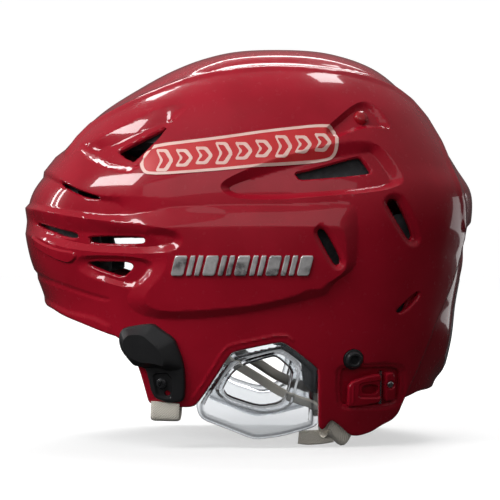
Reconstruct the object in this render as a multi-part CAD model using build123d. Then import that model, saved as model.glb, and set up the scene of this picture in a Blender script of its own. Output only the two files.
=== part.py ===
"""Ice hockey helmet: nested shells, foam liners, clear ear guards, cage clips, latches and straps."""
import os

from build123d import *

# Frame: +Z up, -Y forward, +X towards the wearer's left, origin under the middle of the helmet. Millimetres.

# Outer form as level rings: height, foremost Y, rearmost Y, half width.
RINGS = (
    (-15, -113, 104, 86),
    (10, -116, 109, 90),
    (35, -120, 120, 95),
    (60, -124, 127, 99.5),
    (85, -128, 130, 103),
    (115, -138.5, 136, 106),
    (140, -141.6, 141, 106),
    (155, -138, 140, 104),
    (170, -127, 131, 100),
    (190, -110, 118.5, 92.5),
    (205, -94, 108.5, 84),
    (220, -71, 95, 71),
    (232, -49, 80, 55),
    (240, -28, 61, 38),
    (244.6, -4, 36, 16),
)
RING_POINTS = 20
RING_POWER = 2.3
FORM_CENTRE_Z = 90
FORM_REACH = (106, 141, 154.6)

SHELL_WALL = 3.0
NEST_GAP = 0.4
REAR_WALL = 2.5
LINER_INNER = 18.0
PAD_INNER = 24.0
GAP = 0.3

# Side outlines as (Y, Z).
SHELL_EDGE = (
    (-170, 84), (-125, 82), (-113, 78), (-101, 74), (-90, 70), (-76, 65), (-66, 50), (-61, 28), (-57, 26),
    (-34, 26), (-26, 44), (-19, 58), (-12, 63), (18, 67), (30, 60), (40, 48), (40.7, 15), (43, 12), (48, 16),
    (60, 7.5), (65, 8), (72, 10), (78, 13), (85, 16), (89, 20), (92, 27), (105, 58.6), (113, 76), (119, 89),
    (123, 99), (131, 126), (150, 134), (170, 134), (170, 270), (-170, 270),
)
REAR_EDGE = (
    (52, 32), (55, 29), (88, 29), (92, 31), (170, 31), (170, 146), (116, 146), (106, 112), (95, 80), (86, 60),
    (55, 60), (52, 57),
)
SIDE_VENTS = {
    "long": ((27, 166), (62, 174), (66, 172.5), (72, 164), (29, 160)),
    "a": ((39, 129), (43, 130), (52.6, 113), (50, 109), (39.5, 126)),
    "b": ((82, 147), (89, 148), (98.5, 125), (96, 123.5), (82.5, 144)),
    "c": ((87, 81.5), (99, 93.5), (101, 94), (100, 90), (90, 81)),
    "crown_front": ((-82, 178), (-50, 194), (-73, 173)),
    "brow_upper": ((-96, 120.5), (-96, 124), (-93, 126.5), (-62, 126.5), (-62, 122.5), (-64, 120.5)),
    "brow_lower": ((-97, 108.5), (-94, 110.5), (-72, 110.5), (-70, 108), (-74, 102), (-78, 101), (-90, 104)),
}
FRONT_SLOT = ((12, 127), (60, 127), (60, 131), (12, 131))
CROWN_SLOT = ((18, 177), (52, 173), (54, 177), (20, 182))

BAR_COUNT = 13
BAR_WIDE = 7.2
BAR_NARROW = 3
BAR_GAP = 1.6

LATCH = {"front": 57, "hinge": 77.6, "back": 86, "low": 26, "high": 46.6}
LATCH_GAP = 1.0
KNUCKLE_R = 2.1
PIN_R = 1.0
PIN_DEPTH = 0.7
SLIDE_TRAVEL = 10

SIDE_SCREW = (61.5, 53.5)
SIDE_SCREW_R = 2.2
SLEEVE_R = 2.9
NUT_DEPTH = 9.8
CLIP_SCREW = (-51, 40)
CLIP_SCREW_R = 2.3
CROWN_RIVET = (67.6, 198.6)
CLIP_OUTLINE = (
    (-74, 74), (-59, 76), (-52, 71), (-43, 66), (-39, 58), (-38, 38), (-39, 30), (-47, 28.5), (-55, 31),
    (-59, 43), (-61, 50), (-67, 52), (-74, 60), (-75.5, 68),
)
CLIP_THICK = 7.6
WIRE_R = 2.75
WIRE_Y = -66
WIRE_DEPTH = -3.1

GUARD_OUTLINE = (
    (-30, 18), (-32, 26), (-30.5, 31), (-26.5, 36), (-18, 49), (-12, 59), (2, 64), (18, 67), (24, 63), (39, 50),
    (39.4, 15.5), (36, 11.5), (19, 7.2), (6.5, 5.4), (1, 5.9), (-14, 11.5),
)
GUARD_HOLE = (
    (-5.5, 49.5), (14, 55.3), (24, 47.5), (23.5, 38), (20, 29), (9, 25), (1, 25.5), (-13, 31), (-16, 35), (-12, 43),
)
GUARD_RIM = (
    (-11, 52), (17, 59), (30.5, 49.5), (29.5, 42), (25, 26), (19, 22), (8.5, 20.5), (-10.5, 26.5), (-21.5, 35),
    (-18, 42),
)


def ring(height, front, rear, half, depth):
    """One closed level ring of the form, moved in by depth."""
    scale_x, scale_y, scale_z = (1 - depth / reach for reach in FORM_REACH)
    middle = (front + rear) / 2
    points = []
    for i in range(RING_POINTS):
        turn = Vector(1, 0).rotate(Axis.Z, 360 * i / RING_POINTS)
        x = half * abs(turn.X) ** (2 / RING_POWER) * (1 if turn.X > 0 else -1)
        y = middle + (rear - front) / 2 * abs(turn.Y) ** (2 / RING_POWER) * (1 if turn.Y > 0 else -1)
        points.append((x * scale_x, y * scale_y, FORM_CENTRE_Z + (height - FORM_CENTRE_Z) * scale_z))
    return Wire(Spline(*points, periodic=True).edges())


forms = {}


def form(depth):
    """The solid helmet form, moved in by depth."""
    if depth not in forms:
        forms[depth] = Solid.make_loft([ring(*values, depth) for values in RINGS])
    return forms[depth]


def prism(outline, low=-200, high=200):
    """A side outline, extruded along X."""
    face = make_face(Polyline(*outline, close=True))
    return extrude(Plane.YZ.offset(low) * face, high - low)


def layer(outer, inner, outline, low=-200, high=200):
    """The part of the wall between two depths that lies in a side outline."""
    return prism(outline, low, high) & form(outer) - form(inner)


def one_side(outer, inner, outline):
    """A layer on the wearer's left only."""
    return layer(outer, inner, outline, 20, 200)


def seat(y, z, depth=0.0):
    """A plane on the left wall at a depth, with its Z pointing out."""
    hits = form(0).find_intersection_points(Axis((0, y, z), (1, 0, 0)))
    point, normal = max(hits, key=lambda hit: hit[0].X)
    return Plane(origin=point - normal * depth, x_dir=Vector(0, 0, 1).cross(normal), z_dir=normal)


def rod(plane, radius, low, high):
    """A cylinder along a plane's Z, from low to high."""
    return plane * Pos(0, 0, (low + high) / 2) * Cylinder(radius, high - low)


def both_sides(part):
    """A left part and its mirror image, as separate solids."""
    return Compound([part.solid(), mirror(part, about=Plane.YZ).solid()])


def save(name, part):
    """Write one node."""
    export_step(part, f"parts/{name}.step")


def save_pair(name, part):
    """Write a left node and its mirror image."""
    save(f"{name}_left", part)
    save(f"{name}_right", mirror(part, about=Plane.YZ))


os.makedirs("parts", exist_ok=True)

side_seat = seat(*SIDE_SCREW)
clip_seat = seat(*CLIP_SCREW)
rivet_seat = seat(*CROWN_RIVET)
latch_rivet_seat = seat(LATCH["back"] - 3.2, 38)
hinge_low = seat(LATCH["hinge"], LATCH["low"], PIN_DEPTH).origin
hinge_high = seat(LATCH["hinge"], LATCH["high"], PIN_DEPTH).origin
hinge = Plane(origin=hinge_low, z_dir=hinge_high - hinge_low)
hinge_length = (hinge_high - hinge_low).length

# Front and side shell.
window = (
    (LATCH["front"] - LATCH_GAP - 2.5, LATCH["low"] - LATCH_GAP),
    (LATCH["back"] + LATCH_GAP, LATCH["low"] - LATCH_GAP),
    (LATCH["back"] + LATCH_GAP, LATCH["high"] + LATCH_GAP),
    (LATCH["front"] - LATCH_GAP - 2.5, LATCH["high"] + LATCH_GAP),
)
shell = layer(0, SHELL_WALL, SHELL_EDGE)
shell -= prism(window)
for outline in SIDE_VENTS.values():
    shell -= prism(outline)
for outline in (FRONT_SLOT, CROWN_SLOT):
    slot = extrude(Plane.XZ * make_face(Polyline(*outline, close=True)), 200)
    shell -= slot
    shell -= mirror(slot, about=Plane.YZ)
for plane, radius in ((side_seat, SIDE_SCREW_R), (clip_seat, CLIP_SCREW_R), (rivet_seat, 1.5)):
    hole = rod(plane, radius + 0.08, -10, 10)
    shell -= hole
    shell -= mirror(hole, about=Plane.YZ)
save("front_shell", shell)

# Rear shell with its two wings, slotted for the side screws.
rear_outer = SHELL_WALL + NEST_GAP
rear_inner = rear_outer + REAR_WALL
rear = layer(rear_outer, rear_inner, REAR_EDGE)
slot_half = SLEEVE_R + 1.2
slot_start = seat(*SIDE_SCREW, (rear_outer + rear_inner) / 2).origin
slot_outline = (
    (slot_start.Y - slot_half, slot_start.Z - slot_half),
    (slot_start.Y + slot_half + SLIDE_TRAVEL, slot_start.Z - slot_half),
    (slot_start.Y + slot_half + SLIDE_TRAVEL, slot_start.Z + slot_half),
    (slot_start.Y - slot_half, slot_start.Z + slot_half),
)
rear -= prism(slot_outline)
save("rear_shell", rear)

# Toothed racks let into the wings, under the latches.
rack_band = ((58, 38.3), (78, 38.3), (78, 45), (58, 45))
rack = one_side(rear_inner + 0.05, rear_inner + 1.6, rack_band)
for i in range(9):
    groove_y = 59.2 + 2.2 * i
    groove = ((groove_y, 38), (groove_y + 1, 38), (groove_y + 1, 43), (groove_y, 43))
    rack -= prism(groove)
save_pair("adjuster_rack", rack)

# Foam liners and comfort pads.
liner_outer = SHELL_WALL + GAP
front_liner = ((-170, 92), (-99, 88), (-99, 168), (-170, 168))
side_liner = ((-59, 82), (-50, 74), (48, 74), (58, 82), (58, 168), (48, 176), (-50, 176), (-59, 168))
crown_liner = ((-100, 184), (66, 184), (84, 162), (170, 162), (170, 270), (-100, 270))
rear_liner = ((80, 66), (88, 40), (170, 40), (170, 142), (86, 142), (80, 134))
front_pad = ((-170, 96), (-90, 96), (-90, 150), (-170, 150))
side_pad = ((-54, 84), (40, 84), (50, 96), (50, 150), (-54, 150))
crown_pad = ((-60, 204), (60, 204), (60, 270), (-60, 270))
rear_pad = ((84, 60), (170, 60), (170, 130), (84, 130))
save("liner_front", layer(liner_outer, LINER_INNER, front_liner))
save_pair("liner_side", one_side(liner_outer, LINER_INNER, side_liner))
save("liner_crown", layer(liner_outer, LINER_INNER, crown_liner))
save("liner_rear", layer(rear_inner + 2.2, LINER_INNER, rear_liner))
save("pad_forehead", layer(LINER_INNER + GAP, PAD_INNER, front_pad))
save_pair("pad_side", one_side(LINER_INNER + GAP, PAD_INNER, side_pad))
save("pad_crown", layer(LINER_INNER + GAP, PAD_INNER, crown_pad))
save("pad_rear", layer(LINER_INNER + GAP, PAD_INNER, rear_pad))

# Clear ear guards: a plate tucked behind the shell, with a raised rim round the hole.
guard_plate = one_side(SHELL_WALL + GAP, SHELL_WALL + GAP + 2.8, GUARD_OUTLINE)
guard_rim = one_side(0.2, SHELL_WALL + GAP + 1, GUARD_RIM)
guard = guard_plate + guard_rim - prism(GUARD_HOLE)
guard_rivet_spots = ((-4, 63.5), (14, 67.5))
guard_tabs = [rod(seat(y, z), 3.6, -6.1, -3.3) for y, z in guard_rivet_spots]
for tab in guard_tabs:
    guard += tab
for y, z in guard_rivet_spots:
    guard -= rod(seat(y, z), 1.35, -10, 0)
save_pair("ear_guard", guard)

# Small rivets that hold the ear guards from inside.
guard_rivets = [rod(seat(y, z), 2.6, -7.4, -6.2) + rod(seat(y, z), 1.3, -6.3, -3.05) for y, z in guard_rivet_spots]
save_pair("ear_guard_rivets", Compound([rivet.solid() for rivet in guard_rivets]))

# Cage clips, their screws and the tee nuts behind the shell.
clip = one_side(-CLIP_THICK, -0.15, CLIP_OUTLINE)
clip -= one_side(-CLIP_THICK - 3, -CLIP_THICK + 3.2, ((-60, 20), (-60, 51), (-30, 51), (-30, 20)))
clip -= clip_seat * Pos(0, 0, 2) * Box(9, CLIP_SCREW_R * 2 + 0.3, 30)
wire_low = seat(WIRE_Y, 48, WIRE_DEPTH).origin
wire_high = seat(WIRE_Y, 78, WIRE_DEPTH).origin
wire = Plane(origin=(wire_low + wire_high) / 2, z_dir=wire_high - wire_low)
clip -= rod(wire, WIRE_R, -30, 30)
save_pair("cage_clip", clip)
clip_screw = rod(clip_seat, CLIP_SCREW_R, -7.5, 4.65) + rod(clip_seat, 4.9, 4.6, 7.0)
clip_screw -= clip_seat * Pos(0, 0, 6.6) * Box(7, 1.2, 1.4)
clip_screw -= clip_seat * Pos(0, 0, 6.6) * Box(1.2, 7, 1.4)
save("cage_clip_screws", both_sides(clip_screw))
tee_nut = rod(clip_seat, 5.9, -4.7, -3.2) + rod(clip_seat, 4.2, -9, -4.6)
tee_nut -= rod(clip_seat, CLIP_SCREW_R + 0.05, -20, 0)
save("cage_clip_nuts", both_sides(tee_nut))

# Side screws, each with a washer and a sleeved nut that rides in the slot of the rear shell.
side_screw = rod(side_seat, SIDE_SCREW_R, -NUT_DEPTH - 2.6, 0.95) + rod(side_seat, 5.3, 0.9, 3.0)
side_screw -= side_seat * Pos(0, 0, 2.6) * Box(7.5, 1.4, 1.4)
save("side_screws", both_sides(side_screw))
washer = rod(side_seat, 6.4, 0.12, 0.85) - rod(side_seat, SIDE_SCREW_R + 0.06, -1, 2)
save("side_washers", both_sides(washer))
side_nut = rod(side_seat, 6, -NUT_DEPTH - 2.4, -NUT_DEPTH)
side_nut += rod(side_seat, SLEEVE_R, -NUT_DEPTH - 0.1, -SHELL_WALL - 0.3)
side_nut -= rod(side_seat, SIDE_SCREW_R + 0.06, -20, 0)
save("side_nuts", both_sides(side_nut))

# Domed rivets on the crown.
crown_rivet = rivet_seat * Sphere(4.4) & rod(rivet_seat, 6, 0.12, 2.4)
crown_rivet += rod(rivet_seat, 1.5, -3.1, 0.6)
save("crown_rivets", both_sides(crown_rivet))

# Latches on a fixed base, with a hinge pin each.
tab_outline = (
    (LATCH["front"], LATCH["low"] + 1), (LATCH["front"] + 2, LATCH["low"]), (LATCH["hinge"] - 0.3, LATCH["low"]),
    (LATCH["hinge"] - 0.3, LATCH["high"]), (LATCH["front"] + 2, LATCH["high"]), (LATCH["front"], LATCH["high"] - 1),
)
base_outline = (
    (LATCH["hinge"] + 0.3, LATCH["low"]), (LATCH["back"], LATCH["low"]), (LATCH["back"], LATCH["high"]),
    (LATCH["hinge"] + 0.3, LATCH["high"]),
)
tab_hole = ((66.5, 33.5), (73, 33.5), (73, 39.5), (67.5, 39.5), (66, 37.5))
middle_low = 5.5
middle_high = hinge_length - 5.5
tab = one_side(-1.4, 2.6, tab_outline) - rod(hinge, KNUCKLE_R + 0.9, -2, hinge_length + 2)
tab += rod(hinge, KNUCKLE_R, middle_low, middle_high)
tab += one_side(-0.4, 1.8, ((74.2, 32), (LATCH["hinge"], 32), (LATCH["hinge"], 40.5), (74.2, 40.5)))
tab -= rod(hinge, PIN_R + 0.05, -2, hinge_length + 2)
tab -= prism(tab_hole)
save_pair("latch_tab", tab)
base = one_side(-1.4, 2.6, base_outline) - rod(hinge, KNUCKLE_R + 0.35, -2, hinge_length + 2)
for low, high in ((1, middle_low - 0.3), (middle_high + 0.3, hinge_length - 1)):
    base += rod(hinge, KNUCKLE_R, low, high)
    y = LATCH["hinge"]
    web_low = LATCH["low"] + low * hinge.z_dir.Z + 0.7
    web_high = LATCH["low"] + high * hinge.z_dir.Z - 0.7
    base += one_side(-0.6, 2.0, ((y, web_low), (y + 4, web_low), (y + 4, web_high), (y, web_high)))
base -= rod(hinge, PIN_R + 0.02, -2, hinge_length + 2)
base -= rod(latch_rivet_seat, 1.25, -10, 10)
save_pair("latch_base", base)
save("latch_pins", both_sides(rod(hinge, PIN_R, 0.4, hinge_length - 0.4)))
latch_rivet = rod(latch_rivet_seat, 2.3, 1.5, 2.5) + rod(latch_rivet_seat, 1.2, -2.9, 1.6)
save("latch_rivets", both_sides(latch_rivet))

# Webbing loops at the lower edge, fixed inside by rivets.
front_seat = seat(-49, 26)
front_profile = Polyline(
    (1.9, 1.2), (1.9, -8.4), (0.9, -9.4), (-4.6, -9.4), (-5.6, -8.4), (-5.6, 7), (-4.3, 7), (-4.3, -8), (0.6, -8),
    (0.6, 1.2), close=True,
)
band_plane = Plane(origin=front_seat.origin, x_dir=front_seat.z_dir, z_dir=-front_seat.x_dir)
front_band = extrude(band_plane * make_face(front_profile), 8, both=True)
front_rivet_plane = Plane(front_seat.origin + band_plane.y_dir * 3.5, z_dir=front_seat.z_dir)
front_band -= rod(front_rivet_plane, 1.35, -9, 0)
save_pair("strap_front", front_band)
loop_upper = ((47.5, 20), (61.5, 14), (60.5, 9), (54.5, 3), (51, 2.4), (45, 4))
loop_lower = ((45, 9.5), (54, 2.9), (51, 2.4), (34, 0), (28, 7.5), (41, 10))
rear_band = one_side(-1.9, -0.5, loop_upper) + one_side(3.4, 4.8, loop_upper) + one_side(-1.9, 4.8, loop_lower)
rear_rivet_seat = seat(54, 14.5)
rear_band -= rod(rear_rivet_seat, 1.35, -9, 4)
save_pair("strap_rear", rear_band)
front_strap_rivet = rod(front_rivet_plane, 3, -6.9, -5.7) + rod(front_rivet_plane, 1.3, -5.8, -3.1)
rear_strap_rivet = rod(rear_rivet_seat, 3, -6.1, -4.9) + rod(rear_rivet_seat, 1.3, -5.0, -3.1)
save_pair("strap_rivets", Compound([front_strap_rivet.solid(), rear_strap_rivet.solid()]))

# Raised bars along the side panel, a plain sticker above them and a patch behind.
bars = []
y = -45.5
for i in range(BAR_COUNT):
    width = BAR_WIDE if i % 3 == 0 else BAR_NARROW
    bar = ((y, 103.5), (y + width, 103.5), (y + width + 2.7, 114.8), (y + 2.7, 114.8))
    bars.append(one_side(-1.4, -0.25, bar).solid())
    y += width + BAR_GAP
save_pair("side_bars", Compound(bars))
sticker = ((-60, 157), (46, 172), (48, 187), (-62, 168))
save_pair("sticker", one_side(-0.6, -0.25, sticker))
rear_patch = extrude(Plane.XZ * make_face(Polyline((-26, 52), (26, 52), (22, 92), (-22, 92), close=True)), -200)
save("rear_patch", rear_patch & form(rear_outer - 0.6) - form(rear_outer - 0.2))

print("hinge", tuple(hinge_low + hinge.z_dir * hinge_length / 2), tuple(hinge.z_dir))
print("wire", tuple(wire.origin), tuple(wire.z_dir))
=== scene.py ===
import math

import bmesh
import bpy
import numpy as np
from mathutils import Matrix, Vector


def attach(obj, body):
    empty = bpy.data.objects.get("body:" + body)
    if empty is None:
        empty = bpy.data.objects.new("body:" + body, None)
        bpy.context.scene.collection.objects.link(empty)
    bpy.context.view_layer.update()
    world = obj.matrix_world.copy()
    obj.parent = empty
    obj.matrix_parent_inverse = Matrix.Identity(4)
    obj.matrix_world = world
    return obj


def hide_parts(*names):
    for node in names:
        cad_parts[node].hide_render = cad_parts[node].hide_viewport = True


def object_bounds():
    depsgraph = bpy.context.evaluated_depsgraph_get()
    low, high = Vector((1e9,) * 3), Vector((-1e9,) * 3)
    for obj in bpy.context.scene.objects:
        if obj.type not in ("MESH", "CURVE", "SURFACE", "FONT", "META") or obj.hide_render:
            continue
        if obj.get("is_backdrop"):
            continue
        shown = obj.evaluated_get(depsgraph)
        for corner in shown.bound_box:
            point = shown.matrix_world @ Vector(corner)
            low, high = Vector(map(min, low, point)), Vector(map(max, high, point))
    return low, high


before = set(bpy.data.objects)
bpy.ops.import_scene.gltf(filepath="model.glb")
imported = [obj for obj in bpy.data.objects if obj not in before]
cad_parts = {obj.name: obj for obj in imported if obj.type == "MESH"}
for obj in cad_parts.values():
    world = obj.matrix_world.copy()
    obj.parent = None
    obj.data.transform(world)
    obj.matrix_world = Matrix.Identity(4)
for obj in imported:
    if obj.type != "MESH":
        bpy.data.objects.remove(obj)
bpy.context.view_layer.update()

MM = 0.001

# ---------------------------------------------------------------- outer form, millimetres
RINGS = np.array([
    (-15, -113, 104, 86), (10, -116, 109, 90), (35, -120, 120, 95), (60, -124, 127, 99.5),
    (85, -128, 130, 103), (115, -138.5, 136, 106), (140, -141.6, 141, 106), (155, -138, 140, 104),
    (170, -127, 131, 100), (190, -110, 118.5, 92.5), (205, -94, 108.5, 84), (220, -71, 95, 71),
    (232, -49, 80, 55), (240, -28, 61, 38), (244.6, -4, 36, 16), (245.2, 14, 14, 0),
], float)
TOP = 245.2
POWER = 2.3
ABOVE_TOP = 9.0
FARTHEST, HALVINGS = 320.0, 34
CENTRE = np.array([0.0, 0.0, 100.0])
KNOTS = np.sqrt((TOP - RINGS[:, 0]) / TOP)[::-1]
TABLE = RINGS[::-1, 1:]


def ring_values(z):
    """Foremost y, rearmost y and half width at each height."""
    x = np.clip(np.sqrt(np.clip((TOP - z) / TOP, 0, None)), KNOTS[0], KNOTS[-1])
    i = np.clip(np.searchsorted(KNOTS, x) - 1, 0, len(KNOTS) - 2)
    h = (KNOTS[i + 1] - KNOTS[i])[:, None]
    t = (x - KNOTS[i])[:, None] / h
    slope = (TABLE[1:] - TABLE[:-1]) / (KNOTS[1:] - KNOTS[:-1])[:, None]
    m = np.concatenate([slope[:1], (slope[1:] + slope[:-1]) / 2, slope[-1:]])
    return (
        (2 * t**3 - 3 * t**2 + 1) * TABLE[i] + (t**3 - 2 * t**2 + t) * h * m[i]
        + (3 * t**2 - 2 * t**3) * TABLE[i + 1] + (t**3 - t**2) * h * m[i + 1]
    )


def outside(p):
    """Below 0 inside the form and above 0 outside it."""
    v = ring_values(p[:, 2])
    middle, reach = (v[:, 0] + v[:, 1]) / 2, np.maximum((v[:, 1] - v[:, 0]) / 2, 1e-6)
    across = np.abs(p[:, 0]) / np.maximum(v[:, 2], 1e-6)
    along = np.abs(p[:, 1] - middle) / reach
    return across**POWER + along**POWER - 1 + np.where(p[:, 2] > TOP, ABOVE_TOP, 0.0)


def from_direction(d):
    """Points of the form in directions from its centre."""
    low, high = np.zeros(len(d)), np.full(len(d), FARTHEST)
    for _ in range(HALVINGS):
        mid = (low + high) / 2
        inner = outside(CENTRE + d * mid[:, None]) < 0
        low, high = np.where(inner, mid, low), np.where(inner, high, mid)
    return CENTRE + d * low[:, None]


def from_side(q):
    """Points of the form's left side over (y, z)."""
    v = ring_values(q[:, 1])
    middle, reach = (v[:, 0] + v[:, 1]) / 2, (v[:, 1] - v[:, 0]) / 2
    left = np.clip(1 - (np.abs(q[:, 0] - middle) / reach) ** POWER, 1e-9, None)
    return np.column_stack([v[:, 2] * left ** (1 / POWER), q[:, 0], q[:, 1]])


# ---------------------------------------------------------------- outlines as signed distances
REACH = 30.0
FAR = 1e9


def rounded(points, times, cut):
    """Corner cutting, which rounds a closed outline."""
    p = np.array(points, float)
    for _ in range(times):
        nxt = np.roll(p, -1, axis=0)
        p = np.stack([p * (1 - cut) + nxt * cut, p * cut + nxt * (1 - cut)], axis=1).reshape(-1, 2)
    return p


def to_segments(q, a, b):
    """Shortest distance from each point to any of the segments a to b."""
    best = np.full(len(q), FAR)
    for s, e in zip(a, b):
        line = e - s
        t = np.clip(((q - s) @ line) / max(line @ line, 1e-12), 0, 1)
        best = np.minimum(best, np.hypot(*(q - s - t[:, None] * line).T))
    return best


class Outline:
    """A closed outline. at() is below 0 inside it."""

    def __init__(self, points, times=1, cut=0.25, chart=(1, 2)):
        self.p = rounded(points, times, cut) if times else np.array(points, float)
        self.chart = chart

    def at(self, xyz):
        q = xyz[:, list(self.chart)]
        out = np.full(len(q), REACH)
        low, high = self.p.min(0) - REACH, self.p.max(0) + REACH
        near = np.flatnonzero(((q > low) & (q < high)).all(1))
        if not len(near):
            return out
        q = q[near]
        a, b = self.p, np.roll(self.p, -1, axis=0)
        d = np.minimum(to_segments(q, a, b), REACH)
        inner = np.zeros(len(q), bool)
        for s, e in zip(a, b):
            if s[1] == e[1]:
                continue
            cross = (s[1] > q[:, 1]) != (e[1] > q[:, 1])
            inner ^= cross & (q[:, 0] < (e[0] - s[0]) * (q[:, 1] - s[1]) / (e[1] - s[1]) + s[0])
        out[near] = np.where(inner, -d, d)
        return out


class Stroke:
    """A band along an open line. at() is below 0 within its half width."""

    def __init__(self, points, half, chart=(1, 2)):
        self.p = np.array(points, float)
        self.half, self.chart = half, chart

    def at(self, xyz):
        q = xyz[:, list(self.chart)]
        out = np.full(len(q), REACH)
        low, high = self.p.min(0) - REACH, self.p.max(0) + REACH
        near = np.flatnonzero(((q > low) & (q < high)).all(1))
        if len(near):
            out[near] = np.minimum(to_segments(q[near], self.p[:-1], self.p[1:]), REACH) - self.half
        return out


class Behind:
    """An outline that only counts at the back of the form."""

    LEAST_Y = 60

    def __init__(self, line):
        self.line = line

    def at(self, xyz):
        return np.where(xyz[:, 1] > self.LEAST_Y, self.line.at(xyz), REACH)


class Inset:
    """An outline moved inwards."""

    def __init__(self, line, inset):
        self.line, self.inset = line, inset

    def at(self, xyz):
        return self.line.at(xyz) + self.inset


def circle(y, z, r, count=20):
    """A round outline of count corners."""
    corners = np.linspace(0, 2 * math.pi, count + 1)[:-1]
    return Outline([(y + r * math.cos(a), z + r * math.sin(a)) for a in corners], times=0)


def edges_of(tris):
    """The three edges of every triangle, in its own turning direction."""
    return np.concatenate([tris[:, [0, 1]], tris[:, [1, 2]], tris[:, [2, 0]]])


class Sheet:
    """Triangles over the form, whose edges can be made to follow lines."""

    ON_LINE = 0.02    # a point this near counts as on the line
    NEAR_END = 0.22   # the share of an edge within which its end moves onto the line
    MOST_MISS = 0.25  # how far off the line such an end may land

    def __init__(self, param, tris, place):
        self.param, self.tris, self.place = param, tris, place
        self.base = place(param)
        self.held = np.zeros(len(param), bool)

    def add(self, param):
        """New parameters, made valid, and their points on the form."""
        if len(param) and self.place is from_direction:
            param = param / np.linalg.norm(param, axis=1)[:, None]
        return param, self.place(param)

    def split(self, line, level=0.0):
        """Cuts triangles so that edges run along line.at() = level."""
        f = line.at(self.base) - level
        e = np.unique(np.sort(edges_of(self.tris), axis=1), axis=0)
        f[np.abs(f) < self.ON_LINE] = 0.0
        crossing = e[f[e[:, 0]] * f[e[:, 1]] < 0]
        if not len(crossing):
            return
        # Loose vertices close to the line move onto it, so that no slivers are left.
        fa, fb = f[crossing[:, 0]], f[crossing[:, 1]]
        t = fa / (fa - fb)
        for end, near in ((0, t < self.NEAR_END), (1, t > 1 - self.NEAR_END)):
            pick = crossing[near]
            tt = t[near]
            who, first = np.unique(pick[:, end], return_index=True)
            free = ~self.held[who]
            who, first = who[free], first[free]
            a, b, s = pick[first, 0], pick[first, 1], tt[first]
            q = self.param[a] * (1 - s)[:, None] + self.param[b] * s[:, None]
            q, base = self.add(q)
            g = line.at(base) - level
            okay = np.abs(g) < self.MOST_MISS
            self.param[who[okay]], self.base[who[okay]] = q[okay], base[okay]
            f[who[okay]] = 0.0
        crossing = e[f[e[:, 0]] * f[e[:, 1]] < 0]
        if len(crossing):
            a, b = self.param[crossing[:, 0]], self.param[crossing[:, 1]]
            fa, fb = f[crossing[:, 0]], f[crossing[:, 1]]
            low, high = np.zeros(len(a)), np.ones(len(a))
            t = fa / (fa - fb)
            for _ in range(3):
                q, base = self.add(a * (1 - t)[:, None] + b * t[:, None])
                g = line.at(base) - level
                same = g * fa > 0
                low, high = np.where(same, t, low), np.where(same, high, t)
                fa, fb = np.where(same, g, fa), np.where(same, fb, g)
                t = np.clip(low + (high - low) * fa / np.where(fa == fb, 1, fa - fb), low, high)
            q, base = self.add(a * (1 - t)[:, None] + b * t[:, None])
            fresh = len(self.param) + np.arange(len(q))
            self.param = np.concatenate([self.param, q])
            self.base = np.concatenate([self.base, base])
            f = np.concatenate([f, np.zeros(len(q))])
            self.held = np.concatenate([self.held, np.ones(len(q), bool)])
            size = len(self.param)
            keys = crossing[:, 0].astype(np.int64) * size + crossing[:, 1]
            order = np.argsort(keys)
            keys, fresh = keys[order], fresh[order]

            def middle(i, j):
                k = np.minimum(i, j).astype(np.int64) * size + np.maximum(i, j)
                at = np.clip(np.searchsorted(keys, k), 0, len(keys) - 1)
                return np.where(keys[at] == k, fresh[at], -1)

            t3 = self.tris
            m = np.column_stack([middle(t3[:, k], t3[:, (k + 1) % 3]) for k in range(3)])
            count = (m >= 0).sum(1)
            parts = [t3[count == 0]]
            for k in range(3):
                i, j, l = k, (k + 1) % 3, (k + 2) % 3
                # Only the edge i-j is cut: its far corner lies on the line.
                one = (count == 1) & (m[:, k] >= 0)
                v, w = t3[one], m[one, k]
                parts += [np.column_stack([v[:, i], w, v[:, l]]), np.column_stack([w, v[:, j], v[:, l]])]
                # Edges i-j and l-i are cut: corner i is alone.
                two = (count == 2) & (m[:, k] >= 0) & (m[:, l] >= 0)
                v, w, x = t3[two], m[two, k], m[two, l]
                parts += [np.column_stack([v[:, i], w, x])]
                parts += [np.column_stack([w, v[:, j], v[:, l]]), np.column_stack([w, v[:, l], x])]
            self.tris = np.concatenate(parts)
        self.held |= f == 0.0

    def keep(self, test):
        """Keeps the triangles whose middle passes test(base points)."""
        self.tris = self.tris[test(self.base[self.tris].mean(1))]

    def trim(self, line, inner=True):
        """Keeps what lies inside the line, or outside it."""
        self.split(line)
        self.keep(lambda p: line.at(p) < 0 if inner else line.at(p) > 0)

    def pack(self):
        """Forgets the points that no triangle uses."""
        used = np.unique(self.tris)
        again = np.full(len(self.param), -1)
        again[used] = np.arange(len(used))
        self.param, self.base, self.held = self.param[used], self.base[used], self.held[used]
        self.tris = again[self.tris]

    def normals(self, p):
        """Directions out of the sheet when its points lie at p."""
        face = np.cross(p[self.tris[:, 1]] - p[self.tris[:, 0]], p[self.tris[:, 2]] - p[self.tris[:, 0]])
        n = np.zeros_like(p)
        for k in range(3):
            np.add.at(n, self.tris[:, k], face)
        return n / np.maximum(np.linalg.norm(n, axis=1), 1e-12)[:, None]


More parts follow.
